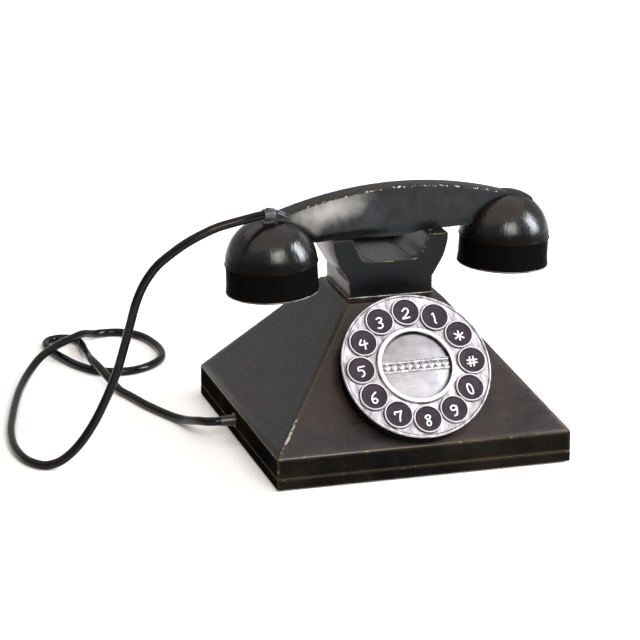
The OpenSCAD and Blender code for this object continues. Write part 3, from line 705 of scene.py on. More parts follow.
def silver_flake(coat):
    """Silver paint brushed on the dial plate: aluminium flake with grey sweeps, painted shadows in the lee of the
    rims, dark rings at the key bores and the rim's groove, and a painted highlight on the raised rims.
    """
    add, laid = coat.add, on_dial(coat)
    x, y, z = add("SeparateXYZ", laid, out=None).outputs
    round_dial = add("Math", "ARCTAN2", x, y)
    # the nearest key's angle round the dial, and from it the way from that key's centre
    folded = add("Math", "WRAP", round_dial, pi / len(KEYS), -pi / len(KEYS))
    angle = add("Math", "SUBTRACT", round_dial, folded)
    centre = add("VectorMath", "SCALE", add("CombineXYZ", add("Math", "SINE", angle), add("Math", "COSINE", angle)),
                 Scale=KEY_RING * MM)
    flat = add("CombineXYZ", x, y)
    from_key = add("VectorMath", "SUBTRACT", flat, centre)
    # painted shadows: dark crescents in the lee of each rim, as cast by light from the upper right; the key bores and
    # the rim's groove get dark rings all round
    lines = 0.0
    for way, radius, width, lee in ((from_key, COLLAR_R + 0.2, 0.55, -1.0), (from_key, KEY_BORE, 0.3, 0.0),
                                    (flat, RING_OUT + 0.35, 0.8, -1.0), (flat, RING_IN, 0.5, 1.0),
                                    (flat, DIAL_R - 1.4, 0.4, 0.0)):
        off = add("Math", "SUBTRACT", add("VectorMath", "LENGTH", way, out="Value"), radius * MM)
        line = add("MapRange", add("Math", "ABSOLUTE", off), width * MM, width * 0.35 * MM)
        if lee:
            shadow_side = lee_of(add, way, (0.8 * lee, 0.6 * lee, 0), -0.35, 0.55, To_Min=0.12)
            line = add("Math", "MULTIPLY", line, shadow_side)
        lines = add("Math", "MAXIMUM", lines, line)
    patchy = add("MapRange", add("TexNoise", 9, 3.0), 0.32, 0.52, 0.45, 1.0)
    lines = add("Math", "MULTIPLY", lines, patchy)
    sweep = add("TexNoise", 4.5, 8.0, 0.75, Distortion=0.4,
                Vector=add("Mapping", laid, Scale=(1.0, 0.45, 1.0), Rotation=(0, 0, 0.5)))
    ground = add("Mix", "#7c797c", "silver", add("MapRange", sweep, 0.4, 0.6))
    # painted highlight: the raised rims are drawn paler than the plate
    rims = add("MapRange", z, (DIAL_T + 0.75) * MM, (DIAL_T + 1.25) * MM, To_Max=0.85)
    colour = add("Mix", add("Mix", ground, "#c3bec2", rims), "#1d1b1e", lines)
    strokes = add("Bump", sweep, 0.45, 0.25 * MM)
    coat.done(Base_Color=colour, Roughness=add("MapRange", sweep, 0.3, 0.7, 0.55, 0.4), Metallic=0.5,
              Normal=add("Bump", add("TexNoise", 0.7, 3.0), 0.25, 0.05 * MM, strokes))


def brushed(coat):
    """Aluminium card disc brushed one way: fine straight lines drawn coarser than real so that they show."""
    add, laid = coat.add, on_dial(coat)
    lines = add("TexNoise", 0.9, 5.0, 0.7, Vector=add("Mapping", laid, Scale=(0.04, 1.0, 1.0)))
    cloud = add("TexNoise", 8, 4.0, Vector=laid)
    colour = add("Mix", "#7d7b7e", "#979598", add("MapRange", add("Math", "ADD", lines, cloud), 0.7, 1.15))
    # painted shadow: a dark crescent on the card along the ring's inner wall, on its upper right, as cast by light
    # from the upper right
    way = add("VectorMath", "MULTIPLY", laid, (1, 1, 0))
    line = add("MapRange", add("VectorMath", "LENGTH", way, out="Value"), (RING_IN - 1.9) * MM, (RING_IN - 1) * MM)
    painted_shadow = add("Math", "MULTIPLY", line, lee_of(add, way, (0.7, 0.7, 0), -0.45, 0.5))
    coat.done(Base_Color=add("Mix", colour, "#141315", painted_shadow), Metallic=0.65,
              Roughness=add("MapRange", lines, To_Min=0.5, To_Max=0.62), Normal=add("Bump", lines, 0.25, 0.05 * MM))


def mottled(coat, first, second, clouds, spread, rough, relief=None, metallic=0.0, specular=0.5, grain=None,
            stretch=(1, 1, 1)):
    """Two tones in soft clouds, a roughness that follows them, and a low relief.

    The clouds and the relief's own grain are a size in millimetres, detail and roughness; spread says where the
    tones change over, rough is the least and the most, and relief is a strength and a depth in millimetres.
    """
    add = coat.add
    cloud = add("TexNoise", *clouds, Vector=add("Mapping", coat.coords, Scale=stretch))
    if relief:
        height = add("TexNoise", *grain) if grain else cloud
        coat.done(Normal=add("Bump", height, relief[0], relief[1] * MM))
    coat.done(Base_Color=add("Mix", first, second, add("MapRange", cloud, *spread)), Metallic=metallic,
              Roughness=add("MapRange", cloud, 0.0, 1.0, *rough), Specular_IOR_Level=specular)


def plain(coat, first, second, size, low_rough, high_rough, metallic=0.0, depth=0.05, stretch=(1, 1, 1)):
    """A mottled finish for small and inner pieces."""
    mottled(coat, first, second, (size, 5.0, 0.62), (0.36, 0.66), (low_rough, high_rough), (0.3, depth), metallic,
            stretch=stretch)


# every material, with the function that makes it and what that function needs
FINISHES = {
    "japanned_steel": (japan, 0.38, "#22130f", 1.59),
    # the same without gloss, on the upright faces of plinth and tray: a darker copy, which is painted shade
    "dull_japanned_steel": (japan, 0.0, "#191611", 1.59),
    # the same on the cradle's upright plates: bluer, more rubbed, and less glossy than the japan, a darker copy which
    # is painted shade
    "cradle_enamel": (japan, 0.12, "#0e1014", 1.5),
    # the same on the upward faces of the cradle's skin: greener and glossier, a brighter copy which is painted light
    "notch_enamel": (japan, 0.75, "#1c1e1c", 1.7),
    "hammered_steel": (hammered,),
    "chipped_strap": (chipped,),
    "polished_phenolic": (phenolic, 0.42, "#110f0d"),
    # the same phenolic with hardly any gloss, on the cups' upright walls and the dial's drum: a darker copy, which is
    # painted shade
    "satin_phenolic": (phenolic, 0.02, "#0b0a0a"),
    # the same phenolic drawn pale on the caps' lips: a painted highlight
    "rubbed_phenolic": (plain, "#1d1c1b", "#63605c", 7.0, 0.15, 0.35),
    "silver_paint": (silver_flake,),
    "brushed_disc": (brushed,),
    # cast white metal with black wax left in its hollows, for the raised band of the centre card
    "patina_metal": (mottled, "#838184", "#c9c8cb", (2.2, 5.0, 0.65), (0.4, 0.62), (0.3, 0.55), (0.3, 0.1), 0.7),
    # the dark waxed ground behind the band's raised pattern
    "band_ground": (mottled, "#343236", "#68666b", (1.5, 4.0), (0.0, 1.0), (0.4, 0.65), None, 0.3),
    # moulded ABS key cap, charcoal with a fine satin grain
    "charcoal_key": (mottled, "key", "#2a2029", (5, 5.0, 0.6), (0.35, 0.7), (0.3, 0.56), (0.3, 0.04), 0.0, 0.2,
                     (0.6, 3.0)),
    # white enamel paint in hand-drawn numerals: slightly raised, soft edged and a little uneven
    "numeral_enamel": (mottled, "numeral", "#b5b2b3", (1.4, 4.0), (0.5, 0.8), (0.3, 0.5), (0.3, 0.05)),
    # extruded soft PVC cord jacket: black, smooth and glossy, with faint drag lines and handling marks
    "cord_jacket": (mottled, "cord", "#0c0b0c", (9, 5.0, 0.6), (0.0, 1.0), (0.07, 0.18), (0.2, 0.03), 0.0, 0.16,
                    (1.1, 3.0)),
    # die-cut neoprene: matt black with a dusty bloom
    "foot_rubber": (plain, "#161616", "#2b2a29", 3.0, 0.65, 0.9),
    # moulded rubber boot: black, worn shiny
    "gland_rubber": (plain, "#080808", "#121212", 2.5, 0.2, 0.4),
    # bright zinc plate on pressed steel: bluish grey with a light spangle
    "zinc_plate": (plain, "#8b8f93", "#bfc3c6", 4.0, 0.3, 0.5, 1.0),
    # turned steel screws: grey with oil-dark hollows
    "screw_steel": (plain, "#6f6e6c", "#a9a8a4", 1.5, 0.28, 0.5, 1.0),
    # spun brass of the ringer's gongs: yellow, a little mottled
    "spun_brass": (plain, "#a07c2e", "#d2ab54", 5.0, 0.2, 0.4, 1.0, 0.03),
    # green solder lacquer on glass laminate, over faint copper tracks
    "board_lacquer": (plain, "#174a2a", "#2b6b40", 2.6, 0.3, 0.55, 0.0, 0.08, (1, 0.3, 1)),
    # varnished cotton tape round the coils, wound across them
    "winding_tape": (plain, "#6b2a1e", "#8f4431", 1.2, 0.55, 0.8, 0.0, 0.1, (1, 0.3, 1)),
    # milky silicone of the key mat: soft and satin
    "mat_silicone": (plain, "#b9b9b3", "#d6d6d0", 3.0, 0.45, 0.6),
    # black moulded nylon of the line socket and switch: satin with a fine spark-eroded grain
    "jack_nylon": (plain, "#121212", "#1f1f1f", 0.8, 0.4, 0.6),
    # gold-flashed spring wire
    "gold_contact": (plain, "#c79a3a", "#e2bd62", 1.5, 0.2, 0.35, 1.0, 0.02),
    # drawn aluminium can of the transmitter and receiver capsules
    "capsule_can": (plain, "#a3a39e", "#c9c9c4", 3.0, 0.3, 0.5, 1.0),
    # moulded nylon tie that clips the cord, and its wires: purplish black, a little shiny
    "clip_nylon": (plain, "#1a181d", "#37343a", 2.0, 0.35, 0.55),
    # a run of soft solder, dulled dark and rubbed bright in places
    "solder_run": (plain, "#211f1e", "#8f8d8a", 14.0, 0.3, 0.5, 1.0, 0.1),
    # matt white background paper
    "studio_paper": (plain, "#f4f4f3", "#f9f9f8", 60.0, 0.85, 0.95),
}
# finishes of the frame's own nodes that stay in view or inside
NODE_FINISHES = {
    "board_lacquer": ["main_board", "key_board"], "mat_silicone": ["key_mat"],
    "spun_brass": ["gong_left", "gong_right"], "winding_tape": ["ringer_coils"],
    "zinc_plate": ["ringer_frame", "clapper", "hook_lifter", "hook_bracket"],
    "screw_steel": ["dial_screws", "cradle_screws", "hook_spring"], "jack_nylon": ["hook_switch"],
    "capsule_can": ["transmitter_capsule", "receiver_capsule"],
}


def made(name):
    """The material of that name, made once."""
    if name not in bpy.data.materials:
        make, *details = FINISHES[name]
        make(Finish(name), *details)
    return bpy.data.materials[name]


# ---------- sizes and colours a user may change ----------
def length_prop(name, description, default, least, most):
    return bpy.props.FloatProperty(name=name, description=description, default=default, min=least, max=most,
                                   unit="LENGTH")


def colour_prop(name, description, default):
    return bpy.props.FloatVectorProperty(name=name, description=description, subtype="COLOR", size=4, min=0, max=1,
                                         default=hex_linear(default))


class TelephoneSizes(bpy.types.PropertyGroup):
    """Sizes of the finished details."""
    edge: length_prop("Edge Rounding", "Rounding of the sheet metal's folds and rims", 0.0007, 0.0002, 0.0015)
    wear: length_prop("Wear Reach", "How far rubbed enamel reaches from an edge", 0.005, 0.001, 0.015)
    barrel: length_prop("Grip Barrel", "How far the grip's plates bulge outwards", 0.0042, 0.0, 0.005)
    stroke: length_prop("Numeral Stroke", "Width of the painted numerals' strokes", 0.001, 0.0006, 0.002)
    hole: length_prop("Speech Hole", "Radius of the holes in the caps", 0.0011, 0.0005, 0.0018)
    hole_pitch: length_prop("Hole Pitch", "Distance between the rings of holes", 0.005, 0.003, 0.006)
    bead: length_prop("Band Bead", "Radius of the beads on the centre card", 0.00045, 0.0002, 0.001)


class TelephoneColours(bpy.types.PropertyGroup):
    """Colours of the main finishes."""
    japan: colour_prop("Japan", "Black japan on the housing", "#0b0b0b")
    bronze: colour_prop("Bronze", "Bare metal on rubbed edges", "#756850")
    phenolic: colour_prop("Phenolic", "Polished cups of the handset", "#060606")
    silver: colour_prop("Silver", "Silver paint on the dial", "#bab7bc")
    key: colour_prop("Key", "Key caps", "#1a121a")
    numeral: colour_prop("Numeral", "Numerals on the keys", "#d3d0d1")
    cord: colour_prop("Cord", "Jacket of the handset cord", "#040404")


def wanted(name):
    """A size that the user may change, in millimetres."""
    return getattr(bpy.context.scene.telephone_sizes, name) / MM


# ---------- outlines and strokes ----------
# the cradle's side and notch outlines, as shares of their widths and heights
SIDE = [(0, 0), (0, 0.275), (0.36, 0.445), (0.7, 0.6), (0.88, 0.745), (1, 0.9), (1, 1)]
NOTCH = [(1, 0), (0.9, 0.4), (0.805, 0.79), (0.69, 0.97), (0.5, 1)]


def cradle_outline(inset=0.0, floor=0.0, roof=0.0, depth=NOTCH_D):
    """The cradle's outline in X and Z: walls moved in by inset, floor up, roof down, and a notch of that depth."""
    flare, top = PRONG_HALF - CRADLE_HALF, CRADLE_H - roof
    side = [(CRADLE_HALF + flare * x - inset, max(floor, min(top, CRADLE_H * z))) for x, z in SIDE]
    side = [Vector(side[0])] + eased(side[1:], 4)
    notch = [(NOTCH_HALF * x + inset, CRADLE_H - depth * z - (inset if z > 0.9 else 0)) for x, z in NOTCH]
    notch = [Vector((NOTCH_HALF + inset, top))] * (roof > 0) + eased(notch + [(0, notch[-1][1])], 2.5)[:-1]
    half = [p for p in side + notch if p[1] <= top + 1e-6]
    return half + [Vector((-p[0], p[1])) for p in reversed(half)]


# numerals in millimetres from the key's middle, x to the right and y up, as strokes of a brush
NUMERALS = {
    "1": [[(-1.5, 2.9), (-0.7, 3.8), (-0.2, 0), (-0.3, -2.8), (0.5, -4)]],
    "2": [[(-2.45, 2), (0.25, 4.1), (2.1, 2.2), (0.9, -0.3), (-2, -3), (-3.1, -4), (-0.55, -3.75), (2.3, -3.1)]],
    "3": [[(-2, 3.1), (0.2, 4.1), (1.9, 2.8), (0.9, 1), (-0.7, 0.4), (1.6, -0.7), (1.9, -2.6), (0.2, -4),
           (-1.8, -3.9)]],
    "4": [[(-1.2, 3.4), (-2.7, -0.4), (3, 0.4)], [(1.2, 2.6), (1, -3.8)]],
    "5": [[(2.6, 3.9), (-1.8, 3.4)], [(-1.8, 3.4), (-1.9, 0.9), (0.6, 1), (2, -0.8), (1.6, -2.9), (-0.1, -3.9)]],
    "6": [[(1.6, 4.1), (-0.6, 2.4), (-1.9, -0.6), (-1.2, -3.4), (0.7, -3.9), (1.9, -2.2), (0.9, -0.5), (-1.2, -1),
           (-1.8, -1.8)]],
    "7": [[(-2.9, 1.4), (-2.6, 3), (-0.5, 2.9), (2.4, 3.6)], [(2.4, 3.6), (0.9, 0), (0.2, -4)]],
    "8": [[(1.9, 3.2), (0, 4), (-1.8, 2.6), (-0.4, 0.6), (1.7, -1.6), (0.6, -3.9), (-1.2, -3.4), (-1.2, -1.4),
           (0.6, 0.6), (1.9, 2.4)]],
    "9": [[(1.6, 2.9), (-0.4, 4), (-2.4, 2.6), (-2, 0.6), (0.2, 0.4), (1.7, 2), (1.9, 3.2)],
          [(1.9, 3.2), (1.9, -0.5), (1.2, -3.2), (-0.6, -4)]],
    "0": [[(-0.3 + 1.8 * cos(a) * cos(0.24) - 4.1 * sin(a) * sin(0.24),
            1.8 * cos(a) * sin(0.24) + 4.1 * sin(a) * cos(0.24)) for a in [k * pi / 5 for k in range(11)]]],
    "star": [[(-0.3, 3.6), (0, 0), (0.3, -3.6)], [(-3.2, 1.9), (0, 0.1), (3.2, -1.9)],
             [(-3, -2.1), (0, -0.1), (3.1, 2)]],
    "hash": [[(-1.3, 3.6), (-1.7, -3.4)], [(1.3, 3.7), (0.9, -3.4)], [(-3.5, 1.1), (3.6, 1.4)],
             [(-3.6, -1.4), (3.4, -0.9)]],
}


def brushed_stroke(bm, points, width, height, base):
    """One painted stroke: a low rounded bead with round ends, lying on the height base."""
    path = smooth_path([(x, y, base) for x, y in points], 5)
    start, end = (path[0] - path[1]).normalized(), (path[-1] - path[-2]).normalized()
    radius, round_end = width / 2, (1.4, 1.0, 0.5)
    fronts = [path[0] + start * radius * sin(a) for a in round_end]
    backs = [path[-1] + end * radius * sin(a) for a in round_end[::-1]]
    scales = [cos(a) for a in round_end] + [1.0] * len(path) + [cos(a) for a in round_end[::-1]]
    section = [(-radius, -0.1), (-radius, 0.02), (-radius * 0.8, height * 0.75), (0, height),
               (radius * 0.8, height * 0.75), (radius, 0.02), (radius, -0.1)]
    swept(fronts + path + backs, section, bm, scales=scales)


# ---------- the handset cord's route ----------
def cord_route():
    """Route points in metres, from the clip on the handset down to the table and round to the gland.

    A point without a height lies flat on the table.
    """
    flat, over = CORD_R, CORD_R * 3 + 0.6
    lead = [(0, 0, 0), (-9.2, 0, 0), (-20.2, -0.6, -1.3)]
    fall = [(-116, -29, LEAD_Z - 4.3), (-127, -28.7, 147.4), (-137, -28.2, 142.4), (-146, -27.5, 136.4),
            (-155, -26.5, 129), (-162.5, -25, 118.5), (-168, -24, 106), (-172, -23, 91), (-176, -22, 76),
            (-180.5, -21, 60.5), (-187, -20, 44.5), (-195.5, -19.5, 28), (-205.5, -19.5, 14.5), (-216, -19.3, 6),
            (-225.5, -17, flat + 0.2), (-232.5, -9.5), (-236.5, 2.5), (-237.8, 24), (-234.5, 52), (-228, 80),
            (-220.5, 108), (-212, 135), (-201.5, 160, flat + 1.5), (-189, 180, flat + 5), (-175, 197, over),
            (-162.5, 209.5, over), (-151.5, 220.5, over - 0.7), (-141.5, 231, flat + 1.5), (-130, 235.5),
            (-118, 231.5), (-109, 220), (-104.5, 202), (-103.8, 184), (-108, 168), (-118, 156), (-131, 149),
            (-145, 149.5), (-157, 156.5), (-166, 170), (-172, 187), (-176, 202), (-178, 218), (-174.5, 228.3),
            (-166, 232), (-157.5, 228.3), (-154, 219), (-154.3, 203), (-156, 184, flat + 2.5), (-158, 161, over),
            (-156.3, 141, over), (-153.5, 124, flat + 3.6)]
    home = [(-51.5, 105), (-47, 91), (-42, 74), (-36, 58), (-30, 43.5, flat + 0.4), (-25.8, 31, flat + 2.4),
            (-23.5, 20, flat + 5.4), (-21.2, 10.5, flat + 8.2), (-18.2, 4, GLAND_Z - 0.9),
            (-14.5, 0.7, GLAND_Z - 0.1), (-BOOT - 1.6, 0, GLAND_Z), (-BOOT, 0, GLAND_Z)]
    points = [HANDSET @ Vector((-CUP_X + x, LEAD_Y + y, LEAD_Z + z)) for x, y, z in lead]
    points += [Vector((x, BASE_Y + y, *(z or [flat]))) for x, y, *z in fall]
    points += [Vector((BASE_X - HALF + x, BASE_Y + GLAND_Y + y, *(z or [flat]))) for x, y, *z in home]
    return [p * MM for p in points]


# ---------- operators ----------
# name, azimuth and height in degrees, distance, width and height in metres, power in watts, colour
LIGHTS = (("front_window", 3, 29, 2.6, 1.2, 1.3, 56, "#fffcf6"),
          ("right_window", 70, 22, 2.6, 0.9, 1.7, 124, "#f4f9ff"),
          ("ceiling", -110, 84, 2.2, 4.4, 4.4, 51, "#ffefe6"))
LIT_AT = Vector((-0.03, 0.0, 0.09))
# the camera's place in metres and its own axes
EYE = (-0.55183, -1.71547, 0.64695)
EYE_AXES = ((0.95916, -0.28285, 0.00188), (0.084, 0.29117, 0.95298), (-0.2701, -0.9139, 0.30304))


class TELEPHONE_OT_stage(bpy.types.Operator):
    """Sets the pale floor, the soft studio lights and the camera"""
    bl_idname = "telephone.stage"
    bl_label = "Stage"

    def execute(self, context):
        scene = context.scene
        bm = bmesh.new()
        corners = [(x * FLOOR_HALF, y * FLOOR_HALF, 0) for x, y in ((-1, -1), (1, -1), (1, 1), (-1, 1))]
        bm.faces.new([bm.verts.new(corner) for corner in corners])
        linked("floor", to_mesh("floor", bm, [made("studio_paper")]))

        world = bpy.data.worlds.new("studio")
        world.use_nodes = True
        fill(world.node_tree, world.node_tree.nodes["Background"].inputs, {"Color": "#f4f6f8", "Strength": 0.52})
        scene.world = world

        for name, azimuth, height, away, wide, tall, power, colour in LIGHTS:
            light = bpy.data.lights.new(name, "AREA")
            light.shape, light.size, light.size_y, light.energy = "RECTANGLE", wide, tall, power
            light.color = hex_linear(colour)[:3]
            a, h = radians(azimuth), radians(height)
            back = Vector((sin(a) * cos(h), -cos(a) * cos(h), sin(h)))
            facing = back.to_track_quat("Z", "Y").to_matrix().to_4x4()
            linked(name, light).matrix_world = Matrix.Translation(LIT_AT + back * away) @ facing

        camera = bpy.data.cameras.new("camera")
        camera.lens, camera.sensor_width, camera.clip_start = 166.75, 36.0, 0.05
        scene.camera = linked("camera", camera)
        scene.camera.matrix_world = Matrix.Translation(EYE) @ Matrix(EYE_AXES).transposed().to_4x4()
        scene.view_settings.view_transform = "Standard"
        return {"FINISHED"}


class TELEPHONE_OT_cord(bpy.types.Operator):
    """Makes the handset cord as one round jacket along its route"""
    bl_idname = "telephone.cord"
    bl_label = "Handset Cord"

    def execute(self, context):
        route = cord_route()
        path = smooth_path([p / MM for p in route], 6)
        for point in path:
            point.z = max(point.z, CORD_R)
        bm = swept(path, circle(CORD_R, 16), up=(0.02, 0.03, 1))
        piece = linked("handset_cord", to_mesh("handset_cord", bm, [made("cord_jacket")]))
        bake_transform(piece, "base", "handset", start=(0, 0, 0.012), end=(0, 0, 0.150))
        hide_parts("cord", "cord_lead")
        length = sum((b - a).length for a, b in zip(path, path[1:])) * MM
        tuple(route[-1])
        return {"FINISHED"}


class TELEPHONE_OT_housing(bpy.types.Operator):
    """Makes the pyramid shell, the tray under it and the solder round the pedestal's foot"""
    bl_idname = "telephone.housing"
    bl_label = "Housing and Tray"

    def execute(self, context):
        edge = wanted("edge")
        coats = [made("japanned_steel"), made("dull_japanned_steel")]
        wall, inside = SHEET / sin(SLOPE), HALF - SHEET
        inner_top = TOP_HALF - wall + SHEET / tan(SLOPE)

        bm = soften(stack((HALF, HALF, TRAY_TOP), (HALF, HALF, PLINTH_H), (TOP_HALF, TOP_HALF, TOP_Z)), edge,
                    wanted("wear"))
        for vert in bm.verts:
            if vert.co.z > TOP_Z - 0.1:
                vert[bm.verts.layers.float["wear"]] = 0.3
        # the hollow, the line socket's mouth, and bores for the dial's wires, the hook's rod and the cord
        cutters = [(stack((inside, inside, TRAY_TOP - 1), (inside, inside, PLINTH_H - 0.3),
                          (HALF - wall, HALF - wall, PLINTH_H), (inner_top, inner_top, TOP_Z - SHEET)), BASE),
                   (box(5.8, 4.2, -4, 4), BASE @ shift(JACK_X, HALF, JACK_Z) @ turn(pi / 2, "X")),
                   (rod(24.1, -8, 2), DIAL), (rod(ROD_R, -5, 4), BASE @ shift(0, HANDSET_Y - BASE_Y, TOP_Z)),
                   (rod(3.65, -3, 1), GLAND)]
        shell = carve(to_mesh("housing", bm, coats, BASE), cutters)
        # upright faces take the glossless copy of the japan: painted shade
        for face in shell.polygons:
            face.material_index = 1 if abs(face.normal.z) < 0.2 else 0
        add_piece("pyramid_shell", smoothed(shell), "base", "black_enamel", "housing_shell")

        # the tray is all in the glossless copy of the japan: painted shade
        tray = to_mesh("tray", soften(box(HALF, HALF, FOOT_H, TRAY_TOP), edge * 0.7, 1.4), coats[1:], BASE)
        tray = carve(tray, [(box(inside, inside, FOOT_H + SHEET, TRAY_TOP + 1), BASE)])
        corners = [BASE @ shift(x, y, 0) for x in (-POST, POST) for y in (-POST, POST)]
        head, screw, below, above = 3.6, 1.8, FOOT_H + 2.6, TRAY_TOP + 1
        tray = carve(tray, [(rod(6.5, FOOT_H + 0.3, TRAY_TOP - 0.02, 40), place) for place in corners], "UNION")
        tray = carve(tray, [(lathe([(0, -1), (head, -1), (head, below), (screw, below), (screw, above), (0, above)],
                                   40), place) for place in corners])
        add_piece("tray", smoothed(tray), "base", "black_enamel", "base_tray")

        # the run of solder that seals the pedestal's foot, a little uneven in height
        near, far, side = CRADLE_FRONT - 0.15, CRADLE_BACK + 0.15, CRADLE_HALF + 0.15
        corners = [(-side, near), (side, near), (side, far), (-side, far)]
        foot = [(x0 + (x1 - x0) * k / 40, y0 + (y1 - y0) * k / 40)
                for (x0, y0), (x1, y1) in zip(corners, corners[1:] + corners[:1]) for k in range(40)]
        foot = [Vector((x, y, TOP_Z + 0.3 + 0.12 * noise.noise(Vector((x, y, 1.0)) * 0.3))) for x, y in foot]
        build("solder_seam", swept(foot, circle(0.55, 8), closed=True), [made("solder_run")], "base", "zinc_steel",
              place=shift(BASE_X, 0, 0))
        return {"FINISHED"}


class TELEPHONE_OT_fasteners(bpy.types.Operator):
    """Makes the four feet and the four screws under the tray"""
    bl_idname = "telephone.fasteners"
    bl_label = "Feet and Screws"

    def execute(self, context):
        rubber, steel = made("foot_rubber"), made("screw_steel")
        foot = lathe(eased([(0, 0), (7.7, 0), (8, 0.3), (8, FOOT_H), (0, FOOT_H)], 0.3), 48)
        head = FOOT_H + 0.6
        screw = lathe(eased([(0, head), (2.7, head), (3.3, head + 0.6), (3.3, head + 2), (1.58, head + 2),
                             (1.58, head + 14.6), (1.2, head + 15), (0, head + 15)], 0.2), 40)
        screw = carve(to_mesh("screw", screw, [steel]),
                      [(box(2.3, 0.45, head - 1, head + 0.9), turn(a, "Z")) for a in (0, pi / 2)])
        for name, mesh, spread, material, slot, source in (
                ("feet", to_mesh("foot", foot, [rubber]), FOOT_AT, rubber, "rubber_foot", "feet"),
                ("tray_screws", screw, POST, steel, "screw_steel", "base_screws")):
            four = grown(name, four_corners, {"Spacing": 2.0 * spread, "Material": material}, BASE, piece=mesh)
            add_piece(name, four, "base", slot, source)
        return {"FINISHED"}


class TELEPHONE_OT_outlets(bpy.types.Operator):
    """Makes the cord's ribbed boot and the line socket"""
    bl_idname = "telephone.outlets"
    bl_label = "Boot and Line Socket"

    def execute(self, context):
        rubber = made("gland_rubber")
        boot = lathe(eased([(2.85, -6.4), (3.6, -6.5), (3.6, -4.5), (5.2, -4.5), (5.2, -1.55), (3.6, -1.55),
                            (3.6, 0), (4.6, 0), (4.6, 1.3), (3.75, 1.5), (3.15, BOOT - 0.2), (3.0, BOOT),
                            (2.85, BOOT)], 0.25, closed=True), 64)
        ring = to_mesh("rib", lathe([(3.3 + x, y) for x, y in circle(0.42, 10)], 48), [rubber], turn(pi / 2, "Y"))
        ribs = grown("ribs", row_of_pieces, {"Count": 4, "Pitch": 1.9, "Taper": -0.045, "Material": rubber},
                     GLAND @ turn(-pi / 2, "Y") @ shift(3.0, 0, 0), piece=ring)
        add_piece("cord_boot", joined("cord_boot", [to_mesh("boot", boot, [rubber], GLAND), ribs], [rubber]), "base",
                  "rubber_foot", "cord_gland")

        nylon, gold = made("jack_nylon"), made("gold_contact")
        seat = BASE @ shift(JACK_X, HALF - SHEET - 7, JACK_Z)
        block = to_mesh("socket", soften(box(7, 7, -5.9, 5.9), 0.3, 1), [nylon], seat)
        block = carve(block, [(box(5, 6.5, -3.4, 3.4), seat @ shift(0, 1.5, 0)),
                              (box(2, 5, -5.2, -3), seat @ shift(0, 3, 0))])
        wire = slab([(-4.6, 3.1), (-4.6, 2.7), (3.6, 0.2), (4.9, 1.6), (4.6, 1.9), (3.6, 0.8), (-4.2, 3.1)],
                    -0.22, 0.22)
        wires = grown("wires", row_of_pieces, {"Count": 4, "Pitch": 1.27, "Taper": 0.0, "Material": gold},
                      seat @ shift(-1.9, 0.5, 0), piece=to_mesh("wire", wire, [gold], turn(pi / 2, "Z")))
        add_piece("line_socket", joined("line_socket", [block, wires], [nylon, gold]), "base", "jack_plastic",
                  "line_jack")
        return {"FINISHED"}


class TELEPHONE_OT_dial(bpy.types.Operator):
    """Makes the drum, the silver plate with its collars, and the centre card"""
    bl_idname = "telephone.dial"
    bl_label = "Dial"

    def execute(self, context):
        silver, card, dark, relief = [made(name) for name in ("silver_paint", "brushed_disc", "band_ground",
                                                              "patina_metal")]
        drum = lathe([(22, -6), (24, -6), (24, 0), (46, 0), (46.15, 0.3), (DIAL_R - 0.1, FACE_Z - 0.4),
                      (DIAL_R - 0.15, FACE_Z), (DIAL_R - 3, FACE_Z), (DIAL_R - 3, 2), (22, 2)], 160)
        # the drum takes the glossless copy of the phenolic: painted shade
        build("dial_drum", drum, [made("satin_phenolic")], "base", "black_enamel", "dial_housing", place=DIAL)

        t, z = DIAL_T, CARD_Z
        plate = lathe([(0, FACE_Z), (DIAL_R - 0.5, FACE_Z), (DIAL_R - 0.1, FACE_Z + 0.2), (DIAL_R, FACE_Z + 0.6),
                       (DIAL_R, t), (DIAL_R - 0.15, t + 0.4), (DIAL_R - 0.5, t + 0.5), (DIAL_R - 1.0, t + 0.45),
                       (DIAL_R - 1.3, t + 0.1), (DIAL_R - 1.7, t), (RING_OUT + 0.5, t), (RING_OUT + 0.1, t + 0.2),
                       (RING_OUT - 0.1, t + 0.9), (RING_OUT - 0.5, t + COLLAR_H), (RING_IN + 0.5, t + COLLAR_H),
                       (RING_IN + 0.1, t + 1.0), (RING_IN, t + 0.5), (RING_IN, z), (0, z)], 160)
        plate = carve(to_mesh("plate", plate, [silver], DIAL),
                      [(rod(KEY_BORE, FACE_Z - 1, t + 3), key_place(i)) for i in range(len(KEYS))])
        collars = grown("collars", rounded_rings, {
            "Count": len(KEYS), "Ring Radius": float(KEY_RING), "Collar Radius": (KEY_BORE + COLLAR_R) / 2,
            "Half Width": (COLLAR_R - KEY_BORE) / 2, "Height": COLLAR_H, "Material": silver}, DIAL @ shift(0, 0, t))
        add_piece("dial_plate", smoothed(joined("dial_plate", [plate, collars], [silver]), 35), "base",
                  "dial_silver", "dial_face")

        disc = lathe([(0, z), (RING_IN - 0.1, z), (RING_IN - 0.1, z + 0.35), (RING_IN - 0.35, z + 0.5), (0, z + 0.5)],
                     128)
        half = sqrt((RING_IN - 0.4) ** 2 - 4.4 ** 2)
        parts = [to_mesh("disc", disc, [card], DIAL),
                 to_mesh("ground", box(half, 2.6, z + 0.3, z + 0.56), [dark], DIAL)]
        parts += [to_mesh("bar", soften(box(half, 0.5, z + 0.3, z + 1), 0.2, 1), [relief], DIAL @ shift(0, y, 0))
                  for y in (-2.85, 2.85)]
        parts.append(grown("pattern", band_pattern, {
            "Lozenges": 9, "Beads": 8, "Dentils": 33, "Pitch": 4.75, "Dentil Pitch": 1.3, "Lozenge": 2.45,
            "Relief": 0.9, "Bead": wanted("bead"), "Dentil": 0.6, "Row Offset": 3.75, "Material": relief},
            DIAL @ shift(0, 0, z + 0.75), sharp=25))
        add_piece("centre_card", joined("centre_card", parts, [card, dark, relief]), "base", "dial_silver",
                  "centre_card")
        return {"FINISHED"}


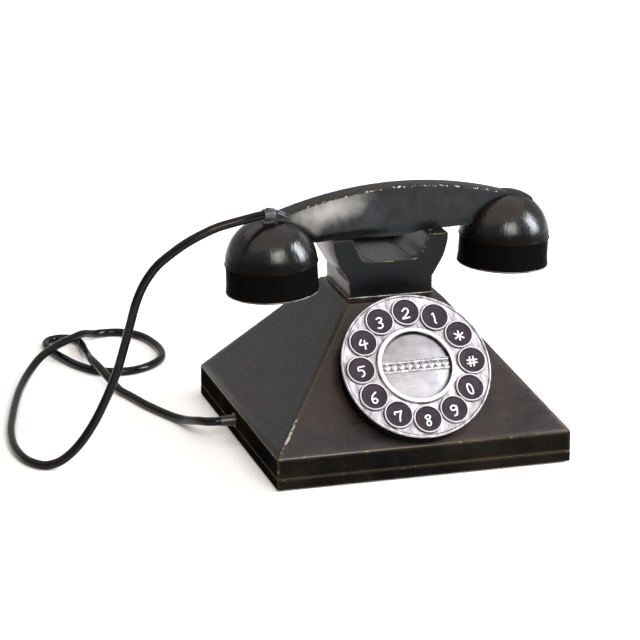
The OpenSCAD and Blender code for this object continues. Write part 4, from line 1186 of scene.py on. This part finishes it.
class TELEPHONE_OT_keys(bpy.types.Operator):
    """Makes the twelve keys with their painted numerals"""
    bl_idname = "telephone.keys"
    bl_label = "Keys"

    def execute(self, context):
        materials, foot = [made("charcoal_key"), made("numeral_enamel")], FACE_Z - 1.9
        for index, name in enumerate(KEYS):
            key = lathe([(0, 6.4), (3, 6.4), (3, foot), (8.58, foot), (8.58, foot + 1.6), (KEY_R, foot + 1.6),
                         (KEY_R, KEY_TOP - 0.45), (7.72, KEY_TOP - 0.12), (7.4, KEY_TOP), (6.9, KEY_TOP - 0.06),
                         (5.6, KEY_TOP - 0.2), (3, KEY_TOP - 0.28), (0, KEY_TOP - 0.3)], 64)
            for stroke in NUMERALS[name]:
                first = len(key.faces)
                brushed_stroke(key, [(x * 0.86, y * 0.86 - 1.0) for x, y in stroke], wanted("stroke"), 0.2,
                               KEY_TOP - 0.3)
                key.faces.ensure_lookup_table()
                for face in key.faces[first:]:
                    face.material_index = 1
            build("key_cap_" + name, key, materials, "key_" + name, "key_plastic", "key_" + name,
                  place=key_place(index), sharp=40)
        return {"FINISHED"}


class TELEPHONE_OT_cradle(bpy.types.Operator):
    """Makes the cradle's front and back plates and the folded skin between them"""
    bl_idname = "telephone.cradle"
    bl_label = "Cradle"

    def execute(self, context):
        coats = [made("japanned_steel"), made("notch_enamel")]
        place = shift(BASE_X, 0, TOP_Z)
        near, far = CRADLE_FRONT + PLATE, CRADLE_BACK - PLATE
        for name, start, end, source, depth in (
                ("cradle_front_plate", CRADLE_FRONT, near, "cradle_front", NOTCH_D),
                ("cradle_back_plate", far, CRADLE_BACK, "cradle_back", NOTCH_D - NOTCH_LIP)):
            plate = soften(slab(cradle_outline(depth=depth), start, end), 0.35, 1.1, 35)
            # the plates take the less glossy copy of the japan: painted shade
            build(name, plate, [made("cradle_enamel")], "base", "black_enamel", source, place=place)
        # inside, the slots of the two plungers, and the hole for their rod
        cutters = [(slab(cradle_outline(1.4, PLATE, PLATE), near - 1, far + 1), place)]
        cutters += [(box(1.7, 4.2, CRADLE_H - 4, CRADLE_H + 4), place @ shift(x, HANDSET_Y, 0))
                    for x in (-HOOK_X, HOOK_X)]
        cutters.append((rod(ROD_R, -1, 4, 40), place @ shift(0, HANDSET_Y, 0)))
        bm = carved_soft(to_mesh("skin", slab(cradle_outline(), near, far), coats[:1], place), cutters, 0.15, 1.5, 70)
        for vert in bm.verts:
            vert[bm.verts.layers.float["wear"]] = 0.0
        skin = to_mesh("cradle_skin_sheet", bm, coats, sharp=30)
        # upward faces take the glossier, greener copy of the japan: painted light
        for face in skin.polygons:
            face.material_index = int(face.normal.z > 0.3)
        add_piece("cradle_skin_sheet", skin, "base", "black_enamel", "cradle_skin")
        return {"FINISHED"}


def grip_under(x):
    """Height of the grip's underside, with the dip between the prongs."""
    if abs(x) >= BELLY_HALF:
        return GRIP_Z
    radius = (BELLY_HALF ** 2 + BELLY ** 2) / (2 * BELLY)
    return GRIP_Z - BELLY + radius - sqrt(radius ** 2 - x * x)


def grip_over(x, inset=0.0):
    """Height of the grip's arched top."""
    return CROWN_Z - ARCH_R + sqrt((ARCH_R - inset) ** 2 - x * x)


def dome_over(x, radius):
    """Height of a dome of that radius over the grip's line, or nothing beside it."""
    off = abs(abs(x) - CUP_X)
    return CUP_Z + sqrt(radius ** 2 - off * off) if off < radius else FAR_BELOW


def rubbed_rims(reach):
    """Wear that fades from a sheet's two long rims over one part in reach of its width."""
    return lambda u, v: max(0.0, 1 - min(v, 1 - v) * reach)


class TELEPHONE_OT_grip(bpy.types.Operator):
    """Makes the handset's hammered grip plates, its floor and the strip along its top"""
    bl_idname = "telephone.grip"
    bl_label = "Handset Grip"

    def execute(self, context):
        steel = made("hammered_steel")
        reach, bulge = CUP_X - 1.4, wanted("barrel")
        in_plane = sqrt(DOME_R ** 2 - GRIP_HALF ** 2)
        for name, side, source in (("grip_front_plate", -1, "grip_front"), ("grip_back_plate", 1, "grip_back")):

            def point(u, v, side=side):
                x = -reach + 2 * reach * u
                under = max(grip_under(x), dome_over(x, in_plane) - 1.2)
                over = max(under + 0.05, grip_over(x, 1.25))
                z = under + (over - under) * v
                # broad barrel, fullest left of the middle, that dies out towards edges and ends
                share = min(1.0, (over - under) / 18)
                ends = max(0.0, 1 - (abs(x) / reach) ** 6)
                full = bulge * (0.25 + 0.75 / (1 + ((x + 37) / 24) ** 4))
                rise = min(1.0, v / 0.26)
                profile = rise * rise * (3 - 2 * rise) if v < 0.26 else cos((v - 0.26) / 0.74 * pi / 2)
                dents = noise.noise(Vector((x / 15, z / 15, side * 3.0))) * 0.5
                dents += noise.noise(Vector((x / 6.5, z / 6.5, 7 + side * 3.0))) * 0.16
                fade = min(1.0, 6 * v * (1 - v)) * ends
                return (x, side * (GRIP_HALF + full * ends * share * profile + dents * fade * 0.6), z)

            plate = sheet_grid(150, 22, point, (0, -side * PLATE, 0), rubbed_rims(9))
            build(name, plate, [steel], "handset", "black_enamel", source, place=HANDSET)

        floor = sheet_grid(90, 6, lambda u, v: (
            (2 * u - 1) * 55, (2 * v - 1) * (GRIP_HALF - PLATE), grip_under((2 * u - 1) * 55)), (0, 0, PLATE))
        build("grip_floor_plate", floor, [steel], "handset", "black_enamel", "grip_floor", place=HANDSET)

        near, far, chips = -CUP_X - 4, CUP_X + 17, rubbed_rims(7)

        def crown(u, v):
            x, y = near + (far - near) * u, (2 * v - 1)
            radius = sqrt((DOME_R + STRAP_T) ** 2 - (y * GRIP_HALF) ** 2)
            z = max(grip_over(x), dome_over(x, radius) if abs(x) > CUP_X - 9 else FAR_BELOW)
            lip = 0.35 * (1 - abs(y) ** 8)
            nick = 0.22 * noise.noise(Vector((x / 4.0, y * 3, 5.0))) * abs(y) ** 6
            return (x, y * (GRIP_HALF + 0.15 + nick), z + lip - 0.35)

        strap = sheet_grid(220, 12, crown, (0, 0, -STRAP_T), lambda u, v: chips(u, v) if 0.12 < u < 0.86 else 0.0)
        build("grip_strip", strap, [made("chipped_strap")], "handset", "black_enamel", "grip_strap", place=HANDSET,
              sharp=40)
        return {"FINISHED"}


class TELEPHONE_OT_cups(bpy.types.Operator):
    """Makes the domes and the perforated caps of the mouthpiece and the earpiece"""
    bl_idname = "telephone.cups"
    bl_label = "Handset Cups"

    def execute(self, context):
        satin, rubbed = made("satin_phenolic"), made("rubbed_phenolic")
        outside = [(DOME_R * sin(a), DOME_R * cos(a)) for a in [k * 1.508 / 40 for k in range(41)]]
        bead = [(DOME_R + 0.05, 1.3), (DOME_R + 0.3, 1.05), (DOME_R + 0.42, 0.65), (DOME_R + 0.3, 0.2),
                (DOME_R - 0.1, 0.0), (26.6, 0), (26.6, -5), (25.4, -5), (25.4, 1.2)]
        inside = [(27.6 * sin(a), 27.6 * cos(a)) for a in [(24 - k) * 1.52 / 24 for k in range(25)]]
        s = -SKIRT_H
        skirt = eased([(26.65, s + 4.6), (26.65, -0.05), (28.8, -0.05), (28.7, -3), (28.8, s + 6), (LIP_R, s + 0.6),
                       (LIP_R - 0.5, s), (LIP_R - 1.7, s), (26.25, s + 3)], 0.45)
        lip_line = eased([(LIP_R - 0.9, s + 1.4), (LIP_R + 0.05, s + 1.1), (LIP_R + 0.14, s + 0.5),
                          (LIP_R - 0.5, s - 0.06), (LIP_R - 1.6, s - 0.06), (LIP_R - 1.8, s + 0.8)], 0.35,
                         closed=True)
        for side, part, rings in ((-1, "transmitter", 3), (1, "receiver", 2)):
            build(part + "_dome_shell", lathe(outside + bead + inside, 128), [made("polished_phenolic")], "handset",
                  "cup_gloss", part + "_dome", place=CUPS[side])
            # the cap takes the glossless copy of the phenolic: painted shade
            cap = to_mesh(part, lathe([(0, s + 4.6), *skirt, (0, s + 3)], 128), [satin], CUPS[side])
            plugs = grown(part + "_holes", round_plugs, {
                "Rings": rings, "Pitch": wanted("hole_pitch"), "Hole Radius": wanted("hole"), "Depth": 8.0,
                "Material": satin}, CUPS[side] @ shift(0, 0, s + 3.8))
            # the lip takes the pale copy of the phenolic: a painted highlight
            lip = to_mesh(part + "_lip", lathe(lip_line, 128), [rubbed], CUPS[side])
            cap = smoothed(joined(part + "_cap_ring", [carve(cap, [plugs]), lip], [satin, rubbed]), 35)
            add_piece(part + "_cap_ring", cap, "handset", "cup_gloss", part + "_cap")
        return {"FINISHED"}


class TELEPHONE_OT_clip(bpy.types.Operator):
    """Makes the band that holds the cord on the handset, and the wires' way into the grip"""
    bl_idname = "telephone.clip"
    bl_label = "Cord Clip"

    def execute(self, context):
        nylon = made("clip_nylon")
        outer = CORD_R + BAND_T
        seat = HANDSET @ shift(CLIP_X, LEAD_Y, LEAD_Z) @ turn(pi / 2, "Z")
        leg = [(-outer, -1.0), (-outer, -5.6), (0.7, -5.6), (0.7, -outer - 0.3)]
        # outline across the cord, then its hole carved along it
        band = to_mesh("band", slab([(-x, z) for x, z in circle(outer, 36, -9, 22) + leg], -3.6, 3.6), [nylon], seat)
        bore = slab(circle(CORD_R + 0.04, 36), -6, 6)
        parts = [to_mesh("band", carved_soft(band, [(bore, seat)], 0.15, 1, 40), [nylon]),
                 to_mesh("buckle", soften(box(1.6, 2.2, -0.2, 0.8), 0.25, 0.5), [nylon],
                         HANDSET @ shift(CLIP_X, LEAD_Y - 0.6, LEAD_Z + outer - 0.45))]
        tail = smooth_path([(-CUP_X + x, LEAD_Y + y, LEAD_Z + z) for x, y, z in (
            (-1.5, 0.4, 0.6), (1.5, 0.1, 0.5), (4.5, 0.4, -0.8), (7, 1.6, -2.6), (8.6, 3.2, -4.2))], 5)
        parts += [to_mesh("wire", swept([HANDSET @ (p + Vector((0, y, z))) for p in tail], circle(0.95, 12)),
                          [nylon]) for y, z in ((-0.9, -0.4), (0.9, -0.4), (0, 1.0))]
        parts = [smoothed(mesh, 35) for mesh in parts]
        add_piece("cord_clip", joined("cord_clip", parts, [nylon]), "handset", "zinc_steel", "cord_clamp")
        return {"FINISHED"}


class TELEPHONE_OT_inner_finishes(bpy.types.Operator):
    """Gives the frame's remaining parts their finishes"""
    bl_idname = "telephone.inner_finishes"
    bl_label = "Inner Parts"

    def execute(self, context):
        for finish, names in NODE_FINISHES.items():
            for name in names:
                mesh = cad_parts[name].data
                mesh.materials.clear()
                mesh.materials.append(made(finish))
        return {"FINISHED"}


OPERATORS = (TELEPHONE_OT_stage, TELEPHONE_OT_cord, TELEPHONE_OT_housing, TELEPHONE_OT_fasteners,
             TELEPHONE_OT_outlets, TELEPHONE_OT_dial, TELEPHONE_OT_keys, TELEPHONE_OT_cradle, TELEPHONE_OT_grip,
             TELEPHONE_OT_cups, TELEPHONE_OT_clip, TELEPHONE_OT_inner_finishes)


class VIEW3D_PT_telephone(bpy.types.Panel):
    """Lists the telephone's sizes, colours and pieces"""
    bl_label = "Desk Telephone"
    bl_idname = "VIEW3D_PT_telephone"
    bl_space_type = "VIEW_3D"
    bl_region_type = "UI"
    bl_category = "Telephone"

    def draw(self, context):
        layout = self.layout
        for group in (context.scene.telephone_sizes, context.scene.telephone_colours):
            box = layout.box()
            for name in type(group).__annotations__:
                box.prop(group, name)
        for operator in OPERATORS:
            layout.operator(operator.bl_idname)


CLASSES = (TelephoneSizes, TelephoneColours, *OPERATORS, VIEW3D_PT_telephone)


def register():
    for cls in CLASSES:
        bpy.utils.register_class(cls)
    bpy.types.Scene.telephone_sizes = bpy.props.PointerProperty(type=TelephoneSizes)
    bpy.types.Scene.telephone_colours = bpy.props.PointerProperty(type=TelephoneColours)


def unregister():
    del bpy.types.Scene.telephone_colours
    del bpy.types.Scene.telephone_sizes
    for cls in reversed(CLASSES):
        bpy.utils.unregister_class(cls)


def main():
    register()
    for operator in OPERATORS:
        group, name = operator.bl_idname.split(".")
        getattr(getattr(bpy.ops, group), name)()


if __name__ == "__main__":
    main()
